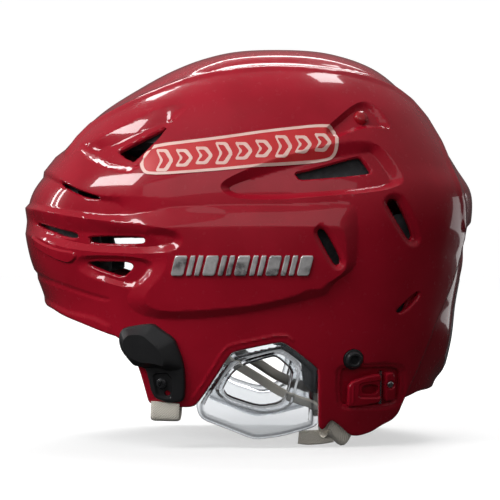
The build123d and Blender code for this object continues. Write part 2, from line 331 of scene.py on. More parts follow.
def dome_sheet(n, low=-62):
    """The left half of the form as directions from its centre, laid out on the faces of a cube."""
    half = np.radians(np.linspace(0, 45, n // 2 + 1))
    full = np.radians(np.linspace(-45, 45, n + 1))
    tall = np.concatenate([np.radians(np.linspace(low, -45, int(n * (-45 - low) / 90) + 1))[:-1], full])
    parts, tris, count = [], [], 0
    for u, v, make in (
        (full, tall, lambda a, b: (np.ones_like(a), np.tan(a), np.tan(b))),
        (half[::-1], tall, lambda a, b: (np.tan(a), np.ones_like(a), np.tan(b))),
        (half, tall, lambda a, b: (np.tan(a), -np.ones_like(a), np.tan(b))),
        (half, full, lambda a, b: (np.tan(a), np.tan(b), np.ones_like(a))),
    ):
        a, b = np.meshgrid(u, v, indexing="ij")
        d = np.stack([c.ravel() for c in make(a, b)], axis=1)
        parts.append(d / np.linalg.norm(d, axis=1)[:, None])
        i = (np.arange(len(u) - 1)[:, None] * len(v) + np.arange(len(v) - 1)).ravel() + count
        w = len(v)
        flip = (np.add.outer(np.arange(len(u) - 1), np.arange(len(v) - 1)).ravel() % 2).astype(bool)
        one = np.column_stack([i, i + w, i + w + 1]), np.column_stack([i, i + w + 1, i + 1])
        two = np.column_stack([i, i + w, i + 1]), np.column_stack([i + w, i + w + 1, i + 1])
        tris += [one[0][~flip], one[1][~flip], two[0][flip], two[1][flip]]
        count += len(d)
    d, tris = np.concatenate(parts), np.concatenate(tris)
    _, first, back = np.unique(np.round(d, 7), axis=0, return_index=True, return_inverse=True)
    return Sheet(d[first], back.ravel()[tris], from_direction)


def side_sheet(outline, step):
    """A grid over the left side that covers an outline."""
    low, high = outline.p.min(0) - 2 * step, outline.p.max(0) + 2 * step
    y, z = np.arange(low[0], high[0], step), np.arange(low[1], high[1], step)
    a, b = np.meshgrid(y, z, indexing="ij")
    w = len(z)
    i = (np.arange(len(y) - 1)[:, None] * w + np.arange(w - 1)).ravel()
    tris = np.concatenate([np.column_stack([i, i + w, i + w + 1]), np.column_stack([i, i + w + 1, i + 1])])
    return Sheet(np.column_stack([a.ravel(), b.ravel()]), tris, from_side)


def smooth01(t):
    t = np.clip(t, 0, 1)
    return t * t * (3 - 2 * t)


class Relief:
    """Raised and sunk areas over the form."""

    def __init__(self):
        self.items = []

    def step(self, outline, width, height, soft=False):
        """Reaches height at width inside the outline."""
        self.items.append(("step", outline, width, height, soft))

    def between(self, outer, inner, height, soft=False):
        """Rises from 0 on the outer outline to height on the inner one."""
        self.items.append(("between", outer, inner, height, soft))

    def bead(self, points, half, height):
        """A round ridge along an open line."""
        self.items.append(("bead", Stroke(points, half), half, height, True))

    def split(self, sheet):
        """Makes the sheet's edges follow every crease."""
        for kind, a, b, _, _ in self.items:
            sheet.split(a)
            if kind == "between":
                sheet.split(b)
            elif kind == "step":
                sheet.split(a, -b)

    def at(self, base):
        """Height over the form at points on it."""
        h = np.zeros(len(base))
        for kind, a, b, height, soft in self.items:
            d = a.at(base)
            if kind == "between":
                e = np.maximum(b.at(base), 0)
                t = np.where(d < 0, -d / np.maximum(-d + e, 1e-9), 0)
            else:
                t = np.clip(-d / b, 0, 1)
            h += height * (smooth01(t) if soft else t)
        return h


# ---------------------------------------------------------------- meshes
def solid_from(sheet, outer, inner):
    """A closed skin between two displaced copies of a sheet."""
    tris = sheet.tris
    n = len(outer)
    e = edges_of(tris)
    _, first, counts = np.unique(np.sort(e, axis=1), axis=0, return_index=True, return_counts=True)
    rim = e[first[counts == 1]]
    walls = np.concatenate([
        np.column_stack([rim[:, 1], rim[:, 0], rim[:, 0] + n]),
        np.column_stack([rim[:, 1], rim[:, 0] + n, rim[:, 1] + n]),
    ])
    return np.concatenate([outer, inner]), np.concatenate([tris, tris[:, ::-1] + n, walls])


def mirrored(points, tris, join):
    """Adds the mirror image. Points on the middle plane are shared when join is true."""
    n = len(points)
    other = np.arange(n) + n
    if join:
        on = np.abs(points[:, 0]) < 1e-4
        other[on] = np.flatnonzero(on)
    flipped = points * np.array([-1, 1, 1])
    return np.concatenate([points, flipped]), np.concatenate([tris, other[tris][:, ::-1]])


def whole_from(points, tris):
    """The whole of a closed half: walls on the middle plane go, and the mirror image is joined on."""
    flat = (np.abs(points[tris][:, :, 0]) < 1e-6).all(1)
    return mirrored(points, tris[~flat], True)


WELD = 2e-6


def make_object(name, points, tris, material, angle=38, clean=True, body="front"):
    """A Blender object from millimetre points, which rides on a body."""
    mesh = bpy.data.meshes.new(name)
    mesh.from_pydata((np.asarray(points) * MM).tolist(), [], np.asarray(tris).tolist())
    if clean:
        bm = bmesh.new()
        bm.from_mesh(mesh)
        bmesh.ops.remove_doubles(bm, verts=bm.verts, dist=WELD)
        bmesh.ops.dissolve_degenerate(bm, edges=bm.edges, dist=1e-6)
        loose = [v for v in bm.verts if not v.link_faces]
        bmesh.ops.delete(bm, geom=loose, context="VERTS")
        bm.to_mesh(mesh)
        bm.free()
    mesh.materials.append(material)
    mesh.shade_smooth()
    mesh.set_sharp_from_angle(angle=math.radians(angle))
    ob = bpy.data.objects.new(name, mesh)
    bpy.context.scene.collection.objects.link(ob)
    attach(ob, body)
    return ob


# ---------------------------------------------------------------- looks
class Look:
    """A Principled material with a few ready-made node tricks."""

    def __init__(self, name, color, rough, metal=0.0, coat=0.0, coat_rough=0.03, sheen=0.0, ior=1.5):
        self.m = bpy.data.materials.new(name)
        self.m.use_nodes = True
        self.nodes, self.links = self.m.node_tree.nodes, self.m.node_tree.links
        self.p = self.nodes["Principled BSDF"]
        self.color = color
        for socket, value in (
            ("Base Color", (*color, 1)), ("Roughness", rough), ("Metallic", metal), ("Coat Weight", coat),
            ("Coat Roughness", coat_rough), ("Sheen Weight", sheen), ("IOR", ior),
        ):
            self.p.inputs[socket].default_value = value
        self.m.diffuse_color = (*color, 1)
        self.where = self.node("TexCoord").outputs["Object"]

    def node(self, kind, **values):
        """A new node. values are its sockets or its settings."""
        n = self.nodes.new("ShaderNode" + kind)
        for key, value in values.items():
            if key in n.inputs:
                n.inputs[key].default_value = value
            else:
                setattr(n, key, value)
        return n

    def stretched(self, scale, turn=(0, 0, 0)):
        """Object coordinates, scaled and turned."""
        n = self.node("Mapping", Scale=scale, Rotation=turn)
        self.links.new(self.where, n.inputs["Vector"])
        return n.outputs["Vector"]

    def noise(self, scale, detail=3.0, rough=0.5, at=None):
        n = self.node("TexNoise", Scale=scale, Detail=detail, Roughness=rough)
        self.links.new(at or self.where, n.inputs["Vector"])
        return n.outputs["Fac"]

    def ramp(self, fac, low, high, a, b):
        """fac from low to high as a value from a to b."""
        n = self.node("MapRange")
        self.links.new(fac, n.inputs["Value"])
        for key, value in (("From Min", low), ("From Max", high), ("To Min", a), ("To Max", b)):
            n.inputs[key].default_value = value
        return n.outputs["Result"]

    def vary_color(self, fac, other, low, high, amount=1.0):
        """Mixes in another colour where fac is high."""
        n = self.node("Mix", data_type="RGBA")
        self.links.new(self.ramp(fac, low, high, 0, amount), n.inputs[0])
        source = self.p.inputs["Base Color"]
        if source.is_linked:
            self.links.new(source.links[0].from_socket, n.inputs[6])
        else:
            n.inputs[6].default_value = (*self.color, 1)
        n.inputs[7].default_value = (*other, 1)
        self.links.new(n.outputs[2], source)

    def vary_rough(self, fac, low, high, a, b):
        self.links.new(self.ramp(fac, low, high, a, b), self.p.inputs["Roughness"])

    def bump(self, fac, strength, distance):
        n = self.node("Bump", Strength=strength, Distance=distance)
        self.links.new(fac, n.inputs["Height"])
        old = self.p.inputs["Normal"]
        if old.is_linked:
            self.links.new(old.links[0].from_socket, n.inputs["Normal"])
        self.links.new(n.outputs["Normal"], old)


def red_shell(name, coat):
    """Painted plastic: colour under a clear coat, with faint mottling and scratches."""
    k = Look(name, (0.34, 0.006, 0.019), 0.28, coat=coat)
    k.p.inputs["Specular IOR Level"].default_value = 0.12
    k.vary_color(k.noise(26, 4, 0.6), (0.28, 0.004, 0.014), 0.42, 0.62, 0.7)
    k.vary_rough(k.noise(210, 5, 0.7), 0.35, 0.7, 0.18, 0.30)
    k.bump(k.noise(700, 2, 0.5), 0.05, 0.0002)
    k.bump(k.noise(900, 2, 0.6, k.stretched((1, 0.05, 1), (0.5, 0.2, 0.1))), 0.03, 0.0002)
    return k.m


def moulded(name, color, rough, grain=900.0):
    """Grained nylon or black oxide."""
    k = Look(name, color, rough)
    k.vary_rough(k.noise(grain, 3, 0.6), 0.3, 0.7, rough - 0.1, rough + 0.12)
    k.vary_color(k.noise(60, 4, 0.6), tuple(c * 1.5 + 0.004 for c in color), 0.45, 0.7, 0.5)
    k.bump(k.noise(grain, 3, 0.6), 0.18, 0.0002)
    return k.m


def foam():
    """Moulded bead foam with its cells."""
    k = Look("liner_foam", (0.028, 0.029, 0.032), 0.75)
    cells = k.node("TexVoronoi", Scale=330.0, feature="DISTANCE_TO_EDGE")
    k.links.new(k.where, cells.inputs["Vector"])
    k.bump(cells.outputs["Distance"], 0.5, 0.0006)
    k.vary_color(k.noise(120, 4, 0.6), (0.06, 0.06, 0.065), 0.45, 0.7)
    return k.m


def lining():
    """Brushed knit over the pads."""
    k = Look("pad_lining", (0.018, 0.018, 0.02), 0.9, sheen=0.5)
    wave = k.node("TexWave", Scale=420.0, Distortion=1.5)
    k.links.new(k.stretched((1, 1, 1.3), (0.6, 0.3, 0.8)), wave.inputs["Vector"])
    k.bump(wave.outputs["Fac"], 0.35, 0.0003)
    k.vary_color(k.noise(300, 3, 0.7), (0.05, 0.05, 0.055), 0.4, 0.75)
    return k.m


def clear_plastic():
    """Clear plastic, with painted shade where the mesh's painted_shade attribute says so."""
    k = Look("ear_guard_clear", (0.66, 0.68, 0.70), 0.03, ior=1.42)
    painted_shade = k.node("Attribute")
    painted_shade.attribute_name = "painted_shade"
    # Painted shade: a dark grey mixed in where the mesh attribute is high.
    k.vary_color(painted_shade.outputs["Fac"], (0.13, 0.14, 0.155), 0.0, 1.0)
    k.p.inputs["Transmission Weight"].default_value = 1.0
    k.bump(k.noise(60, 2, 0.5), 0.02, 0.0004)
    k.vary_rough(k.noise(500, 4, 0.6), 0.4, 0.75, 0.02, 0.09)
    return k.m


def steel(name, color=(0.62, 0.62, 0.63), rough=0.22, metal=1.0, painted_reflection_scale=0.0):
    """Plated metal. painted_reflection_scale is the scale of the dark streaks painted in it as reflections.
    """
    k = Look(name, color, rough, metal=metal)
    if painted_reflection_scale:
        # Painted reflection: dark streaks stand in for what the plating mirrors.
        lean = k.stretched((1, 1, 2.2), (0.7, 0, 0))
        k.vary_color(k.noise(painted_reflection_scale, 1, 0.4, lean), tuple(c * 0.2 for c in color), 0.46, 0.6, 0.9)
    k.vary_rough(k.noise(1500, 3, 0.6), 0.3, 0.7, rough - 0.06, rough + 0.12)
    k.vary_color(k.noise(400, 3, 0.6), tuple(c * 0.8 for c in color), 0.4, 0.7)
    return k.m


def webbing():
    """A diagonal weave over the strap's own length and width."""
    k = Look("webbing_beige", (0.84, 0.79, 0.70), 0.85, sheen=0.3)
    wave = k.node("TexWave", Scale=1.0, Distortion=0.4)
    weave = k.node("Mapping", Scale=(300, 300, 1), Rotation=(0, 0, 0.785))
    k.links.new(k.node("TexCoord").outputs["UV"], weave.inputs["Vector"])
    k.links.new(weave.outputs["Vector"], wave.inputs["Vector"])
    k.bump(wave.outputs["Fac"], 0.6, 0.0004)
    k.vary_color(wave.outputs["Fac"], (0.68, 0.62, 0.53), 0.0, 0.45, 0.6)
    k.vary_color(k.noise(900, 4, 0.7), (0.90, 0.87, 0.80), 0.5, 0.8, 0.6)
    return k.m


def film(name, color, other, scale, grain, rough=0.2, coat=0.6, bump=0.04):
    """Printed or laminated plastic film."""
    k = Look(name, color, rough, coat=coat)
    k.vary_color(k.noise(scale, 4), other, 0.4, 0.65)
    k.bump(k.noise(grain, 2), bump, 0.0003)
    return k.m


RED = red_shell("shell_red_gloss", 0.9)
FOAM, LINING = foam(), lining()
CLEAR = clear_plastic()
BLACK = moulded("clip_black_nylon", (0.014, 0.014, 0.015), 0.42)
BLACK_STEEL = moulded("screw_black_oxide", (0.02, 0.02, 0.022), 0.22, 2000.0)
STEEL = steel("rivet_nickel")
WEB = webbing()

# ---------------------------------------------------------------- shell outlines, (y, z) seen from the side
SIDE_SCREW = (61, 53.5)
SHELL_EDGE = Outline((
    (-170, 95), (-140, 94), (-132, 92.5), (-129, 87), (-126, 83.5), (-121, 82), (-113, 78), (-101, 74),
    (-90, 70), (-78, 66), (-71, 58), (-66, 48), (-62, 34), (-60.5, 28), (-57, 26), (-50, 25.5), (-37, 25),
    (-32.5, 26), (-30.3, 28.5), (-26.5, 33.5), (-19, 45), (-12.8, 55), (-10, 57.8), (-6, 59), (17, 63.8),
    (20.5, 63.3), (30, 56.2), (39.6, 48.6), (40.2, 46), (40.6, 18), (41, 13), (43, 11.2), (45, 13),
    (48, 17.5), (53, 14), (60, 7.3), (66, 7), (73, 9), (79, 12.5), (86, 15.5), (90, 19.5), (92.5, 26),
    (107, 58), (114, 76), (121, 89), (125, 98), (129, 111), (133, 126), (137, 133), (150, 137), (180, 138),
    (180, 290), (-170, 290),
), times=2, cut=0.2)
RIDGE = (
    (-112, 178), (-106, 187), (-98, 195), (-88, 200.5), (-78, 205), (-63, 212), (-45, 219), (-36, 222),
    (-22, 225), (-6, 227), (12, 228.5), (30, 228), (46, 227), (61, 225.5), (75, 222.5), (89, 218),
    (100, 211), (110, 200), (118, 185), (122, 172), (127, 158), (130, 146), (131, 132),
)
CROWN_BAND = Outline(RIDGE + (
    (133, 118), (190, 118), (190, 300), (-190, 300), (-190, 178), (-125, 175),
), times=0)
CHANNEL = Outline((
    (-42, 221.5), (-32, 229.5), (-20, 234.5), (-9, 237), (12, 238.5), (31, 238), (45, 236.5), (58, 233.5),
    (74, 228), (92, 218.5), (76, 223.5), (61, 227), (46, 228.5), (30, 229.5), (12, 230), (-6, 228.5),
    (-24, 225),
))
FRONT_POCKET = Outline((
    (-105, 182.5), (-94, 183.5), (-83, 189), (-63, 199), (-47, 205), (-35, 204.5), (-40, 199), (-46, 194),
    (-53, 185), (-60, 174), (-68, 164.5), (-73, 163.5), (-82, 166), (-92, 169.5), (-100, 174.5),
))
FRONT_POCKET_FLOOR = Outline((
    (-95, 180), (-82, 182.5), (-64, 190.5), (-50, 196.5), (-47, 195), (-52, 188), (-60, 177.5),
    (-69, 168.5), (-82, 170.5), (-90, 174),
))
FRONT_VENT = Outline((
    (-81, 178.2), (-65, 185.8), (-49.5, 193.3), (-53, 189), (-61, 180.5), (-70.5, 171.5), (-75, 174),
), cut=0.12)
RIVET_POCKET = Outline((
    (43, 188), (50, 195), (63, 206), (70, 207), (77, 203), (83, 194), (84, 190), (79, 190.5), (70, 191),
    (58, 187), (50, 183),
))
VENT_POCKET = Outline((
    (-18, 157), (-6, 163.5), (10, 169.5), (24, 174), (42, 179), (62, 183), (78, 181), (92, 161), (89, 156),
    (75, 152), (45, 149.5), (15, 147), (-6, 147.5), (-16, 151),
), times=2)
VENT_FLOOR = Outline((
    (-13, 155.5), (0, 160.5), (29, 169), (71, 177.7), (75, 176), (85.5, 160.5), (84, 158.5), (74, 156),
    (45, 153), (16, 151), (-5, 151), (-11, 153),
))
LONG_VENT = Outline((
    (26.5, 164), (36, 166), (63.5, 173.8), (67, 174), (73, 166), (72, 164.5), (58, 162.5), (41, 161),
    (29.5, 160),
), cut=0.15)
SLOT_A = Outline((
    (38.7, 129), (41, 130.6), (44.3, 128.4), (52.4, 113.5), (52.2, 110.5), (50.5, 108.8), (48.6, 109.6),
    (39.8, 125),
), times=2)
SLOT_B = Outline((
    (81.6, 146.4), (83.2, 148.2), (86.7, 148.3), (88.8, 146.5), (98.4, 126.4), (96.8, 123.2), (94.8, 123.8),
    (82.2, 143.6),
), times=2)
SLOT_C = Outline(((101, 94.5), (101.6, 90), (91, 80.4), (86.8, 81), (87.2, 82.4)), times=2)
SLOT_B_DISH = Outline((
    (78, 146), (81, 151), (88, 151.5), (92.5, 148), (102, 127), (101, 121), (96, 119.5), (91, 122.5),
    (79, 142),
), times=2)
SLOT_A_DISH = Outline((
    (36, 129), (39, 133.5), (45, 132), (55, 114), (55, 108.5), (51, 106), (46.5, 107.5), (37, 124.5),
), times=2)
PLATEAU = Outline((
    (-104, 138.4), (-75, 138.2), (-56, 141), (-44, 143.5), (-6, 144.3), (29, 144.5), (45, 145.4), (54, 146),
    (61, 144.5), (63, 138), (63, 112), (59, 105), (49, 99), (45, 92), (41, 90.5), (22, 86), (4, 82),
    (-9, 80), (-27, 78), (-50, 77), (-66, 80), (-74, 88), (-68, 98), (-60, 106), (-58, 112), (-64, 118),
    (-80, 127),
))
PLATEAU_TOP = Outline((
    (-64, 130.6), (-46, 131), (-20, 131.2), (17, 131.5), (50, 131.5), (54.5, 130), (56, 112), (54.5, 105.5),
    (43.5, 98.5), (41.5, 95.5), (33, 95.5), (26, 91.5), (4, 86.5), (-9, 85), (-27, 83.5), (-50, 82.5),
    (-60, 86), (-61, 92), (-50, 104), (-47, 112), (-50, 121),
))
SHELF = Outline((
    (-160, 172), (-127, 167.5), (-113, 160), (-100, 153.5), (-89, 150), (-76, 149.6), (-60, 149),
    (-40, 146), (-14, 142), (-14, 136), (-40, 132.5), (-56, 131.5), (-75, 134), (-101, 137), (-131, 142.5),
    (-160, 148),
))
SHELF_FLOOR = Outline((
    (-160, 169), (-127, 164.5), (-113, 157), (-101, 150.8), (-90, 147.6), (-80, 146.8), (-74, 142),
    (-78, 138.5), (-101, 140.5), (-131, 146), (-160, 151),
))
CROWN_SLIT = Outline((
    (-114.5, 160), (-107, 156.3), (-100, 153), (-89.5, 149.8), (-89.5, 148.4), (-95, 149), (-101, 150.8),
    (-108, 154), (-114.5, 157.8),
))
BROW_CHAMFER = Outline((
    (-160, 147), (-131, 143), (-101, 137), (-75, 134), (-56, 132), (-43, 129.5), (-38, 125), (-40, 119),
    (-50, 116), (-75, 116), (-94, 117), (-115, 120), (-132, 127), (-160, 131),
))
BROW_FLOOR = Outline((
    (-134, 136.5), (-122, 132.5), (-101, 128), (-58, 126.9), (-46, 126), (-43.5, 124), (-46, 121.6),
    (-57, 119.8), (-75, 119.5), (-93, 120.5), (-113, 123.5), (-130, 130.5),
))
BROW_SLOT_1 = Outline((
    (-133, 134.8), (-120, 131), (-106, 128), (-104, 126), (-106, 124.6), (-114, 125.6), (-125, 129.6),
    (-133, 132.6),
))
BROW_SLOT_2 = Outline((
    (-97, 126), (-64, 126), (-61.3, 123.6), (-63.5, 121.2), (-94, 121.4), (-97.5, 123.4),
), times=2)
BROW_SLOT_3 = Outline((
    (-98, 109), (-95, 110.8), (-75, 110.6), (-71, 110), (-69, 108), (-72.5, 103.8), (-75, 102),
    (-79, 102.2), (-91, 106),
), cut=0.2)
BROW_DISH = Outline((
    (-103, 113.5), (-96, 115), (-74, 114.6), (-58, 112.5), (-55, 107), (-62, 98), (-70, 95), (-80, 97.5),
    (-95, 101.5), (-104, 107),
))
BROW_DISH_FLOOR = Outline((
    (-99.5, 110.5), (-95, 112.5), (-74, 112.2), (-62, 110.5), (-60, 107.5), (-66, 100), (-72, 98.5),
    (-80, 99.8), (-93, 104.2),
))
BROW_TAB = Outline((
    (-134, 126), (-131, 119.5), (-123, 115), (-113, 110.8), (-106.5, 109.8), (-102.5, 113.5), (-103.5, 117),
    (-116, 118.8), (-127, 123), (-133, 127.5),
))
BROW_GROOVE = Outline((
    (-160, 112), (-137, 107), (-120, 100.5), (-105, 96), (-92, 92), (-81, 89.5), (-85, 86.8), (-101, 91),
    (-116, 95.5), (-135, 101), (-160, 106),
))
BROW_EDGE = Outline((
    (-160, 97), (-128, 89), (-110, 82), (-92, 78.5), (-82, 74), (-80, 60), (-170, 60),
), times=0)
SCREW_DISH = circle(*SIDE_SCREW, 6.4, 24)
LATCH_WINDOW = Outline((
    (54, 47.6), (60, 48.2), (85, 48), (90, 46), (91, 38), (90, 28), (86, 25.4), (60, 25.4), (54.3, 27),
    (53.6, 38),
), cut=0.2)
LATCH_DISH = Outline((
    (50.5, 50), (60, 51), (86, 51.5), (93.5, 48.5), (94.5, 38), (93, 27), (87, 22.5), (60, 22.5),
    (51.5, 24.5), (50, 38),
))
EAR_BEAD = (
    (-33.5, 31), (-30.5, 35), (-23, 47), (-17, 57), (-13, 61.6), (-8, 63.2),
    (16.5, 68.2), (21.5, 67.8), (25, 65.4),
)

relief = Relief()
relief.step(CROWN_BAND, 4.5, -1.7)
relief.bead(RIDGE, 3.0, 0.8)
relief.step(CHANNEL, 3.5, -1.6)
relief.between(FRONT_POCKET, FRONT_POCKET_FLOOR, -3.6)
relief.step(RIVET_POCKET, 3.0, -3.0)
relief.between(VENT_POCKET, VENT_FLOOR, -4.0)
relief.between(PLATEAU, PLATEAU_TOP, 3.4)
relief.between(SHELF, SHELF_FLOOR, -2.0)
relief.between(BROW_CHAMFER, BROW_FLOOR, -3.2)
relief.between(BROW_DISH, BROW_DISH_FLOOR, -2.2)
relief.step(BROW_TAB, 1.0, 1.2)
relief.step(BROW_GROOVE, 2.8, -1.1)
relief.step(BROW_EDGE, 2.4, 0.8)
relief.step(SLOT_A_DISH, 2.0, -1.4)
relief.step(SLOT_B_DISH, 2.5, -1.8)
relief.bead(EAR_BEAD, 1.3, 0.6)
relief.step(SCREW_DISH, 0.7, -1.3)
relief.step(LATCH_DISH, 1.6, -1.0)
CUTS = [
    FRONT_VENT, LONG_VENT, SLOT_A, SLOT_B, SLOT_C, CROWN_SLIT,
    BROW_SLOT_1, BROW_SLOT_2, BROW_SLOT_3, LATCH_WINDOW,
]


# Where rounded edges get their rows of points, as shares of the rounding.
SHELL_ROUND_PARTS = (1.0, 0.3)
PLATE_ROUND_PARTS = (1.0, 0.45, 0.12)
BLOCK_ROUND_PARTS = (1.0, 0.5, 0.15)


def lip(d, radius):
    """How far an edge is rounded down at a distance d from it."""
    d = np.clip(d, 0, radius)
    return radius - np.sqrt(np.maximum(radius**2 - (radius - d) ** 2, 0))


def drop_at(base, edge, cuts, edge_round, cut_round):
    """How far the rounded edges of a piece lie below its face."""
    drop = lip(-edge.at(base), edge_round)
    for c in cuts:
        drop = np.maximum(drop, lip(c.at(base), cut_round))
    return drop


def trim_all(s, edge, cuts):
    """Keeps what lies inside the edge and outside the cuts."""
    s.trim(edge)
    for c in cuts:
        s.trim(c, inner=False)


def half_dome(n, test=lambda p: p[:, 2] > -2):
    """The part of the left half that test keeps, which is by default all but what lies under the rim."""
    s = dome_sheet(n)
    s.keep(test)
    s.pack()
    return s


ON_MIDDLE = 0.02


def half_skin(s):
    """Points and outward directions of a half, with its open side exactly on the middle plane."""
    base = s.base.copy()
    middle = np.abs(base[:, 0]) < ON_MIDDLE
    base[middle, 0] = 0
    normal = s.normals(base)
    normal[middle, 0] = 0
    return base, normal / np.linalg.norm(normal, axis=1)[:, None]


def shell_mesh(n, edge, cuts, relief, wall, sunk=0.0, edge_round=1.3, cut_round=0.9):
    """A pressed shell with rounded edges. sunk is how far it lies inside the form."""
    s = half_dome(n)
    trim_all(s, edge, cuts)
    for part in SHELL_ROUND_PARTS:
        s.split(edge, -edge_round * part)
    for c in cuts:
        s.split(c, cut_round)
    relief.split(s)
    s.pack()
    base, normal = half_skin(s)
    h = relief.at(base) - sunk
    outer = base + normal * (h - drop_at(base, edge, cuts, edge_round, cut_round))[:, None]
    return whole_from(*solid_from(s, outer, base + normal * (h - wall)[:, None]))


def form_normal(p):
    """Outward direction of the form at points on it."""
    g = np.column_stack([(outside(p + s) - outside(p - s)) for s in 0.05 * np.eye(3)])
    return g / np.linalg.norm(g, axis=1)[:, None]


def plate_mesh(
    outline, holes, top, thick, step, relief=None, edge_round=0.8, hole_round=0.6, under_round=0.0,
):
    """A plate that follows the left side. top is how far its face stands out of the form."""
    s = side_sheet(outline, step)
    trim_all(s, outline, holes)
    for part in PLATE_ROUND_PARTS:
        s.split(outline, -edge_round * part)
        for c in holes:
            s.split(c, hole_round * part)
    if relief:
        relief.split(s)
    s.pack()
    n = form_normal(s.base)
    h = top + (relief.at(s.base) if relief else 0)
    drop = drop_at(s.base, outline, holes, edge_round, hole_round)
    rise = drop_at(s.base, outline, holes, under_round, under_round)
    return solid_from(s, s.base + n * (h - drop)[:, None], s.base + n * (top - thick + rise)[:, None])


def both(name, points, tris, material, node=None, angle=38):
    """A left piece and its mirror image."""
    out = []
    for side, flip in (("left", 1), ("right", -1)):
        p = points * np.array([flip, 1, 1])
        ob = make_object(f"{name}_{side}", p, tris if flip > 0 else tris[:, ::-1], material, angle)
        if node:
            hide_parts(f"{node}_{side}")
        out.append(ob)
    return out


def joined(*meshes):
    """Several meshes as one list of points and triangles."""
    points, tris, count = [], [], 0
    for p, t in meshes:
        points.append(p)
        tris.append(t + count)
        count += len(p)
    return np.concatenate(points), np.concatenate(tris)


def seat(y, z):
    """Point, outward direction and two tangents on the left side."""
    p = from_side(np.array([[y, z]], float))
    n = form_normal(p)[0]
    x = np.cross((0, 0, 1), n)
    x /= np.linalg.norm(x)
    return p[0], n, x, np.cross(n, x)


def wall_point(y, z, out):
    """A point near the left wall, out millimetres outside the form."""
    p, n, _, _ = seat(y, z)
    return p + n * out


SEGMENTS = 64
RIM_RINGS = 26
DRIVE_SLOT = 0.45
DRIVE_WALL = 0.3


def drive_distance(u, v, kind, size):
    """Distance outside a drive's recess, below 0 inside it."""
    if kind == "cross":
        bars = [np.maximum(np.abs(a) - size, np.abs(b) - DRIVE_SLOT) for a, b in ((u, v), (v, u))]
        return np.minimum(*bars)
    sides = (0, math.pi / 3, 2 * math.pi / 3)
    return np.max([np.abs(u * math.cos(k) + v * math.sin(k)) for k in sides], axis=0) - size


def stud(place, radius, profile, drive=None, size=2.0, deep=1.2, turn=0.3, shaft=0.0, low=0.0, long=6.0):
    """A round head on a seat. profile gives (share of radius, height) from the middle outwards."""
    o, n, x, y = place
    radii = np.unique(np.concatenate([np.linspace(0.02, 1, RIM_RINGS), [r for r, _ in profile if r > 0]]))
    heights = np.interp(radii, [r for r, _ in profile], [h for _, h in profile])
    angle = np.linspace(0, 2 * math.pi, SEGMENTS + 1)[:-1]
    r, a = np.meshgrid(radii * radius, angle, indexing="ij")
    h = np.repeat(heights[:, None], SEGMENTS, axis=1)
    if drive:
        d = drive_distance(r * np.cos(a + turn), r * np.sin(a + turn), drive, size)
        h = h - deep * np.clip(0.5 - d / DRIVE_WALL, 0, 1)
    rings = o + r[..., None] * (np.cos(a)[..., None] * x + np.sin(a)[..., None] * y) + h[..., None] * n
    points = [rings.reshape(-1, 3)]
    ends = [(radius, low)] + ([(shaft, low), (shaft, low - long)] if shaft else [])
    for end_radius, height in ends:
        ring = np.cos(angle)[:, None] * x + np.sin(angle)[:, None] * y
        points.append(o + end_radius * ring + height * n)
    m = len(radii) + len(ends)
    points = np.concatenate(points)
    i = (np.arange(m - 1)[:, None] * SEGMENTS + np.arange(SEGMENTS)).ravel()
    j = (np.arange(m - 1)[:, None] * SEGMENTS + (np.arange(SEGMENTS) + 1) % SEGMENTS).ravel()
    sides = [np.column_stack([i, i + SEGMENTS, j + SEGMENTS]), np.column_stack([i, j + SEGMENTS, j])]
    k = np.arange(1, SEGMENTS - 1)
    cap = np.column_stack([np.zeros(SEGMENTS - 2, int), k, k + 1])
    last = (m - 1) * SEGMENTS
    foot = np.column_stack([np.full(SEGMENTS - 2, last), last + k + 1, last + k])
    tris = np.concatenate(sides + [cap, foot])
    # A nut's profile lies below its shaft, which turns the faces inside out.
    return points, tris[:, ::-1] if low > profile[0][1] else tris


def spline(points, count):
    """Evenly spread points on a smooth line through the given ones."""
    p = np.array(points, float)
    e = np.concatenate([[2 * p[0] - p[1]], p, [2 * p[-1] - p[-2]]])
    fine = []
    for i in range(len(p) - 1):
        t = np.linspace(0, 1, 24, endpoint=False)[:, None]
        a, b, c, d = e[i], e[i + 1], e[i + 2], e[i + 3]
        square, cube = 2 * a - 5 * b + 4 * c - d, 3 * b - a - 3 * c + d
        fine.append(0.5 * (2 * b + (c - a) * t + square * t**2 + cube * t**3))
    fine = np.concatenate(fine + [p[-1:]])
    s = np.concatenate([[0], np.cumsum(np.linalg.norm(np.diff(fine[:, :3], axis=0), axis=1))])
    at = np.linspace(0, s[-1], count)
    return np.column_stack([np.interp(at, s, fine[:, k]) for k in range(p.shape[1])]), s[-1]


def ribbon(rows, width, thick, count, across=15):
    """A flat strap and its UVs. Each row is a centre (3) and the direction of its width (3)."""
    line, length = spline(rows, count)
    centre, wide = line[:, :3], line[:, 3:]
    along = np.gradient(centre, axis=0)
    along /= np.linalg.norm(along, axis=1)[:, None]
    wide = wide - (wide * along).sum(1)[:, None] * along
    wide /= np.linalg.norm(wide, axis=1)[:, None]
    up = np.cross(along, wide)
    u = np.linspace(-1, 1, across)
    edge = np.sqrt(np.clip(1 - np.abs(u) ** 8, 0, 1))
    front = [(a * width / 2, e * thick / 2) for a, e in zip(u, edge)]
    back = [(a * width / 2, -e * thick / 2) for a, e in zip(u[::-1][1:-1], edge[::-1][1:-1])]
    loop = front + back
    m = len(loop)
    points = np.concatenate([centre + a * wide + b * up for a, b in loop])
    points = points.reshape(m, count, 3).transpose(1, 0, 2).reshape(-1, 3)
    tris = []
    for i in range(count - 1):
        for j in range(m):
            k = (j + 1) % m
            tris += [(i * m + j, i * m + k, (i + 1) * m + k), (i * m + j, (i + 1) * m + k, (i + 1) * m + j)]
    last = (count - 1) * m
    for j in range(1, m - 1):
        tris += [(0, j + 1, j), (last, last + j, last + j + 1)]
    uv = np.array([(length * i / (count - 1) * MM, loop[j][0] * MM) for i in range(count) for j in range(m)])
    return points, np.array(tris), uv


